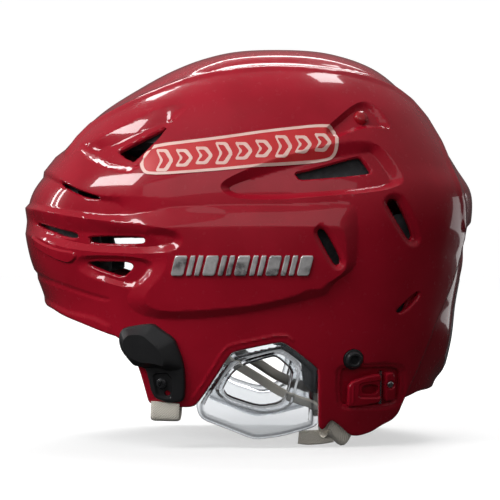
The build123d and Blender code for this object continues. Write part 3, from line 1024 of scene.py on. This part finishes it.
def both_ribbons(name, table, width, thick, node, count, sides=("left", "right")):
    """Straps on one side or both.

    A row of the table is y, z, how far outside the form, and the direction of the width.
    """
    rows = [(*wall_point(y, z, out), *wide) for y, z, out, wide in table]
    points, tris, uv = ribbon(rows, width, thick, count)
    for side in sides:
        left = side == "left"
        p = points * np.array([1 if left else -1, 1, 1])
        ob = make_object(f"{name}_{side}", p, tris if left else tris[:, ::-1], WEB, 50, clean=False)
        layer = ob.data.uv_layers.new(name="strap")
        loops = np.zeros(len(ob.data.loops), int)
        ob.data.loops.foreach_get("vertex_index", loops)
        layer.data.foreach_set("uv", uv[loops].ravel())
        if node:
            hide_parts(f"{node}_{side}")


def for_both_sides(name, mesh, material, node, angle=35):
    """A small piece and its mirror image as one object, for a node that holds both."""
    ob = make_object(name, *mirrored(*mesh, False), material, angle)
    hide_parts(node)


# ---------------------------------------------------------------- shells
FINE = 132
FRONT_SKIN, REAR_SKIN, REAR_SUNK = 2.8, 2.2, 4.2
front_mesh = shell_mesh(FINE, SHELL_EDGE, CUTS, relief, FRONT_SKIN)
shell = make_object("front_shell_skin", *front_mesh, RED)
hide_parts("front_shell")

REAR_EDGE = Outline((
    (51.5, 31), (53.5, 24.5), (57, 22.8), (82, 22.8), (90, 24.5), (98, 27), (108, 30.5), (170, 30.5),
    (170, 146), (118, 146), (110, 130), (104, 108), (95, 82), (86, 61), (56, 60), (51.5, 57),
), times=2, cut=0.15)
SLOT_WING = Outline(((56, 48.6), (73, 48.6), (76, 53.5), (73, 58.4), (56, 58.4), (53.6, 53.5)))
rear_relief = Relief()
REAR_FACE = Outline(((-70, 34), (-60, 128), (60, 128), (70, 34)), times=2, chart=(0, 2))
REAR_FACE_TOP = Outline(((-34, 44), (-26, 108), (26, 108), (34, 44)), times=2, chart=(0, 2))
REAR_GROOVE = Outline(((-20, 98), (20, 98), (14, 106), (-14, 106)), times=2, chart=(0, 2))
REAR_VENT = Outline(((7, 112), (22, 108), (20, 115), (8, 119)), times=2, chart=(0, 2))
rear_relief.between(Behind(REAR_FACE), Behind(REAR_FACE_TOP), 3.0, True)
rear_relief.step(Behind(REAR_GROOVE), 2.0, -2.0)
rear_mesh = shell_mesh(FINE, REAR_EDGE, [SLOT_WING, Behind(REAR_VENT)], rear_relief, REAR_SKIN, REAR_SUNK)
rear = make_object("rear_shell_skin", *rear_mesh, RED, body="rear")
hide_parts("rear_shell")

# ---------------------------------------------------------------- foam and pads
ROUGH = 44
HOLE_ROUND = 1.5
SIDE_X = 30
LINER_ROUND = 3.0
PAD_TOP, PAD_THICK, PAD_ROUND = 18.3, 6.5, 5.0


def block(
    name, edge, top, thick, edge_round, material, node, one_side=False, relief=None, cuts=(), body="front",
):
    """A liner block or a pad, top millimetres inside the form, as one piece or as a pair."""
    s = half_dome(ROUGH)
    if one_side:
        s.keep(lambda p: p[:, 0] > SIDE_X)
    trim_all(s, edge, cuts)
    for part in BLOCK_ROUND_PARTS:
        s.split(edge, -edge_round * part)
    for c in cuts:
        s.split(c, HOLE_ROUND)
    if relief:
        relief.split(s)
    s.pack()
    base, normal = half_skin(s)
    drop = drop_at(base, edge, cuts, edge_round, HOLE_ROUND)
    h = relief.at(base) if relief else 0
    # The face towards the head is the one that shows, so it gets the round edge.
    points, tris = solid_from(s, base - normal * top, base - normal * (top + thick - drop + h)[:, None])
    if one_side:
        return both(name, points, tris, material, node, 45)
    ob = make_object(name, *whole_from(points, tris), material, 45, body=body)
    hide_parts(node)
    return [ob]


crown_grooves = Relief()
for x in (0, 26, 52):
    groove = Outline(((x - 3, -84), (x + 3, -84), (x + 3, 98), (x - 3, 98)), chart=(0, 1))
    crown_grooves.step(groove, 2.0, -4.0)
CROWN_FOAM = Outline(((-96, 186), (62, 186), (84, 164), (170, 164), (170, 280), (-96, 280)), cut=0.1)
FRONT_FOAM = Outline((
    (-170, 96), (-99.5, 91), (-99.5, 114), (-108, 118), (-108, 164), (-170, 166),
), cut=0.1)
REAR_FOAM = Outline(((81, 66), (90, 42), (170, 42), (170, 140), (88, 140), (81, 132)), cut=0.15)
SIDE_FOAM = Outline((
    (-60, 84), (-50, 74), (46, 74), (60, 84), (64, 140), (79, 150), (79, 172), (66, 179), (-50, 176),
    (-60, 160),
))
side_holes = [circle(-30, 150, 7), circle(0, 154, 7), circle(30, 150, 7)]
block("foam_crown", CROWN_FOAM, 8.5, 9.5, LINER_ROUND, FOAM, "liner_crown", relief=crown_grooves)
block("foam_front", FRONT_FOAM, 8.5, 9.5, LINER_ROUND, FOAM, "liner_front")
block("foam_rear", REAR_FOAM, 8.0, 10, LINER_ROUND, FOAM, "liner_rear", body="rear")
block("foam_side", SIDE_FOAM, 9.0, 9.0, LINER_ROUND, FOAM, "liner_side", one_side=True, cuts=side_holes)

FRONT_PAD = Outline(((-170, 97), (-95, 97), (-95, 113), (-103, 118), (-103, 147), (-170, 150)))
SIDE_PAD = Outline(((-54, 84), (38, 84), (50, 96), (50, 136), (-54, 136)), cut=0.2)
CROWN_PAD = Outline(((-58, 206), (58, 206), (58, 290), (-58, 290)), cut=0.1)
REAR_PAD = Outline(((88, 62), (170, 62), (170, 128), (88, 128)), cut=0.2)
for name, edge, node, one_side, body in (
    ("cushion_front", FRONT_PAD, "pad_forehead", False, "front"),
    ("cushion_side", SIDE_PAD, "pad_side", True, "front"),
    ("cushion_crown", CROWN_PAD, "pad_crown", False, "front"),
    ("cushion_rear", REAR_PAD, "pad_rear", False, "rear"),
):
    for pad in block(name, edge, PAD_TOP, PAD_THICK, PAD_ROUND, LINING, node, one_side, body=body):
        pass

# ---------------------------------------------------------------- clear ear guards
GUARD = Outline((
    (-15, 60.5), (-10, 64.5), (-4, 67.8), (3, 67.5), (14, 71.5), (20, 69.5), (27, 64.5), (37, 56), (43, 50),
    (43, 38), (42.6, 17), (40, 13.2), (36, 11.5), (19, 7.2), (6.5, 5.6), (1, 5.9), (-14, 11.8), (-28, 17),
    (-31, 20.5), (-32.5, 26.5), (-30, 34), (-22, 48),
), cut=0.18)
GUARD_HOLE = Outline((
    (-5.5, 50), (13, 55.6), (16, 55), (24.5, 47.5), (23.5, 40), (20.6, 30), (16, 27), (7, 25.8), (1, 26.8),
    (-13, 31.5), (-16, 35.5), (-12, 43.5),
), cut=0.2)
GUARD_RING = Outline((
    (-10.5, 53), (17, 59.6), (22, 57.4), (29, 52.3), (30.3, 49.5), (30, 45), (27, 33), (25, 26), (19, 22.6),
    (8, 20.8), (1, 22.6), (-11, 26.7), (-18.5, 31), (-21.3, 35.5), (-17.5, 42.3),
), cut=0.18)
GUARD_RING_TOP = Outline((
    (-8.5, 51.6), (16.5, 57.8), (20.5, 56), (27, 50.8), (27.8, 45), (25, 34), (23, 27.5), (18, 24.6),
    (8, 23), (1, 24.6), (-12.5, 28.8), (-19, 35.4), (-14.8, 43),
), cut=0.18)
GUARD_VISIBLE = Outline((
    (-11, 56), (3, 60), (18, 63), (22, 62), (33, 54), (39.5, 47.5), (39.5, 38), (39.3, 15), (38.5, 13),
    (36, 11.5), (19, 7.2), (6.5, 5.6), (1, 5.9), (-14, 11.8), (-28, 17), (-30.8, 20.5), (-31.8, 26.5),
    (-27, 35), (-19, 46),
), cut=0.18)

guard_relief = Relief()
guard_relief.step(Inset(GUARD_VISIBLE, 2.0), 1.8, -1.1)
guard_relief.between(GUARD_RING, GUARD_RING_TOP, 4.2)
guard_holes = [GUARD_HOLE, circle(-4, 63.5, 1.7), circle(14, 67.5, 1.7)]
guard_mesh = plate_mesh(GUARD, guard_holes, -2.9, 3.2, 0.9, guard_relief, 1.0, 0.9, 0.3)
guards = both("ear_guard_clear", *guard_mesh, CLEAR, "ear_guard", 60)


def band(distance, middle, half):
    """1 in the middle of a band along an outline, 0 from half its width on."""
    return np.clip(1 - np.abs(distance - middle) / half, 0, 1)


for guard in guards:
    # Thick clear plastic looks darker along its rim, its ring and the edge of its hole through refraction;
    # that darkness is painted in here as shade.
    place = np.zeros(3 * len(guard.data.vertices))
    guard.data.vertices.foreach_get("co", place)
    place = place.reshape(-1, 3) / MM
    ring_wall = np.clip(np.minimum(-GUARD_RING.at(place), GUARD_RING_TOP.at(place) + 0.6), 0, 1)
    rim = band(GUARD_VISIBLE.at(place), -2.6, 1.3)
    hole_edge = band(GUARD_HOLE.at(place), 0.4, 0.9)
    painted_shade = np.maximum.reduce([0.8 * ring_wall, 0.9 * rim, 0.8 * hole_edge])
    guard.data.attributes.new("painted_shade", "FLOAT", "POINT").data.foreach_set("value", painted_shade)

GASKET = Outline((
    (41.2, 30.5), (41.2, 49.5), (31, 58.5), (21.5, 65.6), (13, 64.3), (13.5, 61.6), (19.5, 60.6),
    (25, 56.5), (31, 50.8), (31.6, 44), (32.4, 37.5),
), cut=0.15)
for gasket in both("ear_gasket_foam", *plate_mesh(GASKET, [], -6.6, 2.2, 1.5, None, 0.6), FOAM):
    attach(gasket, "front")

# ---------------------------------------------------------------- cage clips
CLIP = Outline((
    (-73.5, 72.5), (-66, 74), (-59, 75), (-55.5, 74.6), (-51.5, 71.5), (-44, 66.5), (-41.7, 61),
    (-39.2, 54), (-38, 47.5), (-37.6, 40), (-38.2, 30.5), (-41.5, 29), (-47, 28.6), (-51.6, 29.8),
    (-55.2, 31.5), (-57.2, 35), (-59, 43), (-60.3, 48.3), (-63.3, 49.6), (-67.5, 50.3), (-70, 53),
    (-74.6, 58.8), (-76.2, 64), (-75.8, 69.3),
), cut=0.22)
CLIP_HOOD = Outline((
    (-73, 71.6), (-66, 73.4), (-59, 74.4), (-56, 74), (-52, 71), (-44.6, 66), (-42.3, 61), (-39.8, 54),
    (-39, 49), (-47, 47.6), (-53, 49.5), (-60.5, 49.4), (-67, 51.2), (-70, 54), (-74, 59.4), (-75.5, 64),
    (-75.1, 69),
), cut=0.2)
CLIP_CROWN = Outline((
    (-71, 66), (-68, 69.5), (-60.5, 69.8), (-52, 62.5), (-48.8, 55), (-48.2, 51.5), (-54, 53.2),
    (-60, 53.4), (-66, 55.5), (-70.5, 60.5),
), cut=0.15)
CLIP_CHANNEL = Outline((
    (-56.5, 46.5), (-45.2, 46.5), (-44.6, 31.4), (-49, 31), (-53.8, 32.6), (-55.2, 38),
), cut=0.2)
clip_relief = Relief()
clip_relief.between(CLIP_HOOD, CLIP_CROWN, 5.2)
clip_relief.step(CLIP_CHANNEL, 0.9, -1.6)
clip_mesh = plate_mesh(CLIP, [circle(-48.2, 34.2, 1.7)], 3.6, 3.4, 0.95, clip_relief, 1.3, 0.5)
both("cage_clip_nylon", *clip_mesh, BLACK, "cage_clip", 34)

# ---------------------------------------------------------------- screws, nuts and rivets
DOME = ((0, 1.0), (0.3, 0.96), (0.55, 0.85), (0.75, 0.66), (0.88, 0.42), (0.96, 0.16), (1.0, 0.0))


def dome(low, high, rim):
    """A domed profile over an upright rim."""
    return [(r, low + rim + h * (high - low - rim)) for r, h in DOME]


clip_place, screw_place = seat(-51.2, 40), seat(*SIDE_SCREW)
clip_head = stud(clip_place, 3.4, dome(2.2, 4.2, 0.5), "cross", 1.7, 1.3, 0.5, shaft=2.2, low=1.9)
for_both_sides("cage_clip_screw_heads", clip_head, BLACK_STEEL, "cage_clip_screws")
clip_nut = [(0, -9.0), (0.5, -9.0), (0.52, -4.8), (1, -4.6)]
tee_nut = stud(clip_place, 5.9, clip_nut, "hex", 1.2, -1.0, 0, low=-3.3)
for_both_sides("cage_clip_tee_nuts", tee_nut, STEEL, "cage_clip_nuts")

socket_head = [(0, 2.0), (0.5, 2.1), (0.62, 2.6), (0.8, 2.5), (0.94, 1.7), (1, 0.9)]
screw_head = stud(screw_place, 5.2, socket_head, "hex", 2.3, 1.6, 0.3, shaft=2.2, low=0.1)
for_both_sides("side_screw_heads", screw_head, BLACK_STEEL, "side_screws")
washer = [(0, 0.3), (0.9, 0.3), (0.96, 0.2), (1, -0.1)]
for_both_sides("side_washer_discs", stud(screw_place, 6.1, washer, low=-1.2), BLACK, "side_washers")
side_nut = [(0, -13.6), (0.55, -13.6), (0.6, -12.6), (1, -12.4)]
nut_plate = stud(screw_place, 6.0, side_nut, "hex", 2.4, -1.2, 0, shaft=2.8, low=-11.2, long=-6.3)
for_both_sides("side_nut_plates", nut_plate, STEEL, "side_nuts")

RIVET_RED = Look("rivet_red_enamel", (0.36, 0.006, 0.014), 0.25, coat=0.8)
RIVET_RED.vary_color(RIVET_RED.noise(300, 3), (0.28, 0.004, 0.01), 0.4, 0.7)
RIVET_RED.bump(RIVET_RED.noise(900, 2), 0.1, 0.0002)
crown_rivet = stud(seat(67, 198), 4.5, dome(-2.4, 0.3, 0.4), shaft=1.4, low=-3.2)
for_both_sides("crown_rivet_domes", crown_rivet, RIVET_RED.m, "crown_rivets")

# ---------------------------------------------------------------- latches
LATCH_RED = red_shell("latch_red_nylon", 0.35)
TAB = Outline((
    (57.6, 25.4), (57.8, 37.5), (60, 40.2), (68, 43.3), (77.4, 44.6), (77.4, 27.8), (68, 26),
), cut=0.1)
TAB_HOLE = Outline(((67.4, 38.4), (76.2, 38.6), (76.2, 32.6), (67.4, 32.4), (65.6, 35.4)), times=2)
BASE = Outline(((80.2, 44.9), (84.8, 45.4), (85.8, 43), (86.6, 30), (85.4, 28.6), (80.2, 28)), cut=0.1)
tab_relief = Relief()
TAB_DISH = Outline(((63.5, 30.2), (64, 39.8), (78, 41.6), (78, 29.8)), cut=0.12)
tab_relief.step(TAB_DISH, 0.8, -0.9)
tab_relief.bead(((60.2, 28), (60.6, 37.8)), 0.8, 0.5)
tab_mesh = plate_mesh(TAB, [TAB_HOLE], 1.3, 3.0, 0.7, tab_relief, 0.9, 0.4)
for side, tab in zip(("left", "right"), both("latch_tab_nylon", *tab_mesh, LATCH_RED, "latch_tab", 34)):
    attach(tab, f"latch_{side}")
LATCH_RIVET = (83.2, 38)
base_relief = Relief()
base_relief.step(circle(*LATCH_RIVET, 3.0), 0.5, -0.7)
base_mesh = plate_mesh(BASE, [], 1.3, 3.4, 0.6, base_relief, 0.9)
both("latch_base_nylon", *base_mesh, LATCH_RED, "latch_base", 34)
latch_rivet = stud(seat(*LATCH_RIVET), 2.3, dome(0.3, 1.5, 0.2), shaft=1.2, low=-0.3)
for_both_sides("latch_rivet_heads", latch_rivet, STEEL, "latch_rivets")

# ---------------------------------------------------------------- webbing
# The front strap comes down inside the shell, turns under its edge and runs back up outside.
FRONT_WIDE = seat(-49, 30)[2]
front_table = [(y, z, out, FRONT_WIDE) for y, z, out in (
    (-49.5, 41, -4.6), (-49.5, 30, -4.8), (-49.8, 22, -4.4), (-50, 18.6, -3.2), (-50, 17.5, -1.2),
    (-50, 18.8, 0.8), (-49.7, 22.5, 1.5), (-49.5, 28.5, 1.4),
)]
both_ribbons("webbing_front", front_table, 17.5, 1.5, "strap_front", 70)

REAR_WIDE = (-0.36, 0.83, -0.42)
EDGE_ON = (-0.93, -0.2, -0.3)
rear_table = (
    (59.5, 22, -4.9, REAR_WIDE), (57.2, 15, -4.7, REAR_WIDE),
    (55, 9.4, -4.4, REAR_WIDE), (52.4, 5.8, -4.8, REAR_WIDE),
    (49.6, 6.4, -7.6, (-0.5, 0.7, -0.5)), (47.6, 12, -9.4, (-0.7, 0.6, -0.3)),
    (45, 19, -10.6, (-0.85, 0.3, -0.35)),
    (38, 24, -11.4, EDGE_ON), (29, 27, -12, EDGE_ON), (18, 32, -12.3, EDGE_ON), (6, 39.4, -12.5, EDGE_ON),
    (-5, 46, -12.5, EDGE_ON), (-14, 51.5, -12, EDGE_ON), (-22, 58, -10.6, (-0.7, -0.6, -0.4)),
    (-26, 67, -8.6, (-0.2, -0.95, -0.2)), (-27, 76, -7.4, (0.1, -1, 0)),
)
both_ribbons("webbing_rear", rear_table, 16, 1.4, "strap_rear", 150)

tail_table = (
    (51.5, 6.6, -6.6, (-0.2, 0.5, -0.8)), (44, 5.4, -7.8, (-0.2, 0.45, -0.85)),
    (36.5, 4.9, -8.8, (-0.2, 0.52, -0.82)), (30.5, 5.2, -9.8, (-0.22, 0.62, -0.75)),
)
both_ribbons("webbing_tail", tail_table, 9.0, 1.3, None, 40, ("left",))

# ---------------------------------------------------------------- raised bars, sticker and patch
# The last value is the scale of the dark streaks painted in as reflections.
CHROME = steel("bars_chrome", (0.95, 0.92, 0.92), 0.14, 0.6, 55.0)
BARS = 13
BAR_WIDE, BAR_NARROW, BAR_GAP = 7.2, 3.0, 1.6
BAR_LOW, BAR_HIGH = 103.4, 115.0
BAR_LEAN = 0.24 * (BAR_HIGH - BAR_LOW)


def slanted(y0, y1):
    """A bar whose upright sides lean back as they rise."""
    top = (y1 + BAR_LEAN, BAR_HIGH), (y0 + BAR_LEAN, BAR_HIGH)
    return Outline(((y0, BAR_LOW), (y1, BAR_LOW), *top), cut=0.1)


bars = []
bar_start = -45.5
for i in range(BARS):
    width = BAR_WIDE if i % 3 == 0 else BAR_NARROW
    bars.append(plate_mesh(slanted(bar_start, bar_start + width), [], 4.6, 1.3, 0.8, None, 0.5, 0.35))
    bar_start += width + BAR_GAP
both("side_bar_chrome", *joined(*bars), CHROME, "side_bars", 34)


def overlay(outline, gap, thick, step, holes=()):
    """A thin film that lies on the pressed shell."""
    s = side_sheet(outline, step)
    trim_all(s, outline, holes)
    relief.split(s)
    s.pack()
    n = form_normal(s.base)
    h = relief.at(s.base) + gap
    return solid_from(s, s.base + n * h[:, None], s.base + n * (h - thick)[:, None])


def chevron(c, mid, tall, grow):
    """An arrow head. grow widens it on every side."""
    back, shoulder = c - 3.4 - grow, c + 1.6 + grow
    low, high = mid - tall - grow, mid + tall + grow
    tip, notch = c + 5.0 + 1.3 * grow, c - 0.4 - grow
    corners = (back, low), (shoulder, low), (tip, mid), (shoulder, high), (back, high), (notch, mid)
    return Outline(corners, cut=0.12)


STICKER = Outline((
    (-61, 178), (-20, 182.5), (10, 187), (46, 191), (50, 187), (50, 176), (46, 172.5), (8, 168.5),
    (-22, 165.5), (-60, 163), (-63, 168),
), times=2, cut=0.2)
STICKER_RIM = Outline((
    (-63.5, 179.5), (-20, 184.2), (10, 188.6), (47, 192.8), (52, 188.5), (52, 175.5), (47, 171), (8, 166.9),
    (-22, 163.9), (-61, 161.4), (-65, 167),
), times=2, cut=0.2)
FILM = film("sticker_film", (0.60, 0.035, 0.04), (0.54, 0.025, 0.032), 80, 400)
PRINT = film("sticker_print", (0.86, 0.58, 0.52), (0.80, 0.48, 0.43), 90, 400, rough=0.25)
both("sticker_film", *overlay(STICKER, 0.28, 0.2, 1.6), FILM, "sticker", 40)
MARKS = 9
MARK_START, MARK_PITCH = -51, 11.6
MARK_TALL, MARK_LOW = 5.6, 4.2
marks = []
for i in range(MARKS):
    c = MARK_START + MARK_PITCH * i
    mid = 170.6 + 0.115 * (c + 50)
    tall = MARK_TALL if i % 3 == 0 else MARK_LOW
    marks.append(overlay(chevron(c, mid, tall, 1.0), 0.42, 0.1, 0.9, [chevron(c, mid, tall, -0.7)]))
marks.append(overlay(STICKER_RIM, 0.34, 0.1, 1.4, [STICKER]))
both("sticker_print", *joined(*marks), PRINT, None, 40)

PATCH = film("patch_grey_film", (0.55, 0.55, 0.56), (0.42, 0.42, 0.44), 160, 500, coat=0.8, bump=0.05)
PATCH_EDGE = Outline(((-30, 46), (30, 46), (24, 100), (-24, 100)), cut=0.12, chart=(0, 2))


def back_overlay(outline, low, high):
    """A thin film on the back of the rear shell, between two heights over it."""
    s = half_dome(64, lambda p: (p[:, 1] > 90) & (p[:, 2] > 30) & (p[:, 2] < 120))
    s.trim(outline)
    rear_relief.split(s)
    s.pack()
    base = s.base.copy()
    base[np.abs(base[:, 0]) < ON_MIDDLE, 0] = 0
    normal = form_normal(base)
    normal[base[:, 0] == 0, 0] = 0
    h = rear_relief.at(base) - REAR_SUNK
    return whole_from(*solid_from(s, base + normal * (h + high)[:, None], base + normal * (h + low)[:, None]))


patch = make_object("rear_patch_film", *back_overlay(PATCH_EDGE, 0.1, 0.3), PATCH, 40, body="rear")
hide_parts("rear_patch")

# ---------------------------------------------------------------- small CAD pieces that stay as they are
for node, material in (
    ("adjuster_rack_left", BLACK), ("adjuster_rack_right", BLACK),
    ("ear_guard_rivets_left", STEEL), ("ear_guard_rivets_right", STEEL),
    ("strap_rivets_left", STEEL), ("strap_rivets_right", STEEL), ("latch_pins", STEEL),
):
    mesh = bpy.data.objects[node].data
    for i in range(len(mesh.materials)):
        mesh.materials[i] = material


# ---------------------------------------------------------------- floor, light and camera
def lamp(name, place, target, wide, tall, power, shows):
    """A soft box. One that doesn't show leaves no highlight."""
    data = bpy.data.lights.new(name, "AREA")
    data.shape, data.size, data.size_y, data.energy = "RECTANGLE", wide, tall, power
    ob = bpy.data.objects.new(name, data)
    bpy.context.scene.collection.objects.link(ob)
    ob.location = place
    ob.rotation_euler = (Vector(target) - Vector(place)).to_track_quat("-Z", "Y").to_euler()
    ob.visible_glossy = shows


def paper(name, color, glow):
    """A plain matt surface that glows a little."""
    m = bpy.data.materials.new(name)
    m.use_nodes = True
    p = m.node_tree.nodes["Principled BSDF"]
    for socket, value in (
        ("Base Color", (color, color, color, 1)), ("Roughness", 0.8), ("Specular IOR Level", 0.1),
        ("Emission Color", (1, 1, 1, 1)), ("Emission Strength", glow),
    ):
        p.inputs[socket].default_value = value
    return m


def faded(tree, source, low, high, a, b, socket):
    """Feeds a socket with a value that runs from a to b as source runs from low to high."""
    n = tree.nodes.new("ShaderNodeMapRange")
    for key, value in (("From Min", low), ("From Max", high), ("To Min", a), ("To Max", b)):
        n.inputs[key].default_value = value
    tree.links.new(source, n.inputs["Value"])
    tree.links.new(n.outputs["Result"], socket)


scene = bpy.context.scene
scene.view_settings.view_transform = "Standard"
world = bpy.data.worlds.new("studio")
scene.world = world
world.use_nodes = True
tree = world.node_tree
split = tree.nodes.new("ShaderNodeSeparateXYZ")
tree.links.new(tree.nodes.new("ShaderNodeTexCoord").outputs["Generated"], split.inputs[0])
faded(tree, split.outputs["Z"], -0.1, 0.6, 0.02, 0.2, tree.nodes["Background"].inputs["Color"])

low = min(v[2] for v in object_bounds())
bpy.ops.mesh.primitive_plane_add(size=18, location=(0, 0, low - 0.0005))
floor = bpy.context.object
floor.name = "floor"
floor_look = paper("floor_paper", 0.42, 0.6)
tree = floor_look.node_tree
far = tree.nodes.new("ShaderNodeVectorMath")
far.operation = "LENGTH"
tree.links.new(tree.nodes.new("ShaderNodeTexCoord").outputs["Object"], far.inputs[0])
glow = tree.nodes["Principled BSDF"].inputs["Emission Strength"]
faded(tree, far.outputs["Value"], 0.15, 2.6, 0.56, 0.92, glow)
floor.data.materials.append(floor_look)
bpy.ops.mesh.primitive_uv_sphere_add(segments=64, ring_count=32, radius=8, location=(0, 0, 0))
backdrop = bpy.context.object
backdrop.name = "backdrop"
backdrop.data.materials.append(paper("backdrop_paper", 0.1, 1.0))
backdrop.visible_shadow = False
for ob in (floor, backdrop):
    ob.visible_glossy = False
    ob.visible_diffuse = False
    ob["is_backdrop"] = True

for name, place, target_height, wide, tall, power, shows in (
    ("key_soft", (0.85, -0.65, 1.6), 0.12, 1.2, 1.2, 18, False),
    ("rim_soft", (-1.3, 0.35, 1.3), 0.12, 1.2, 1.2, 18, False),
    ("fill_front", (0.7, -1.4, 0.5), 0.12, 1.0, 1.0, 3, False),
    ("fill_side", (1.9, -0.2, 0.35), 0.12, 1.5, 1.0, 5.5, False),
    ("strip_back", (-1.15, -0.05, 1.85), 0.2, 1.9, 0.45, 24, True),
    ("box_front", (0.70, -1.20, 1.08), 0.15, 0.75, 0.26, 9, True),
    ("box_top", (-0.36, 0.50, 1.85), 0.2, 0.32, 0.32, 3, True),
    ("window_one", (-0.24, -1.52, 0.62), 0.15, 0.07, 0.5, 1.6, True),
    ("window_two", (-0.42, -1.48, 0.62), 0.15, 0.07, 0.5, 1.6, True),
    ("haze_side", (1.7, 0.0, 1.05), 0.15, 2.6, 0.5, 2.4, True),
    ("box_back", (-0.9, 1.4, 0.15), 0.12, 1.0, 0.5, 2, True),
):
    lamp(name, place, (0, 0, target_height), wide, tall, power, shows)

CAMERA_FAR, CAMERA_HIGH, HALF_VIEW = 1.3, 0.118, 0.158
camera = bpy.data.objects.new("camera", bpy.data.cameras.new("camera"))
scene.collection.objects.link(camera)
camera.location = (CAMERA_FAR, 0, CAMERA_HIGH)
camera.rotation_euler = (math.radians(90), 0, math.radians(90))
camera.data.angle = 2 * math.atan(HALF_VIEW / CAMERA_FAR)
scene.camera = camera
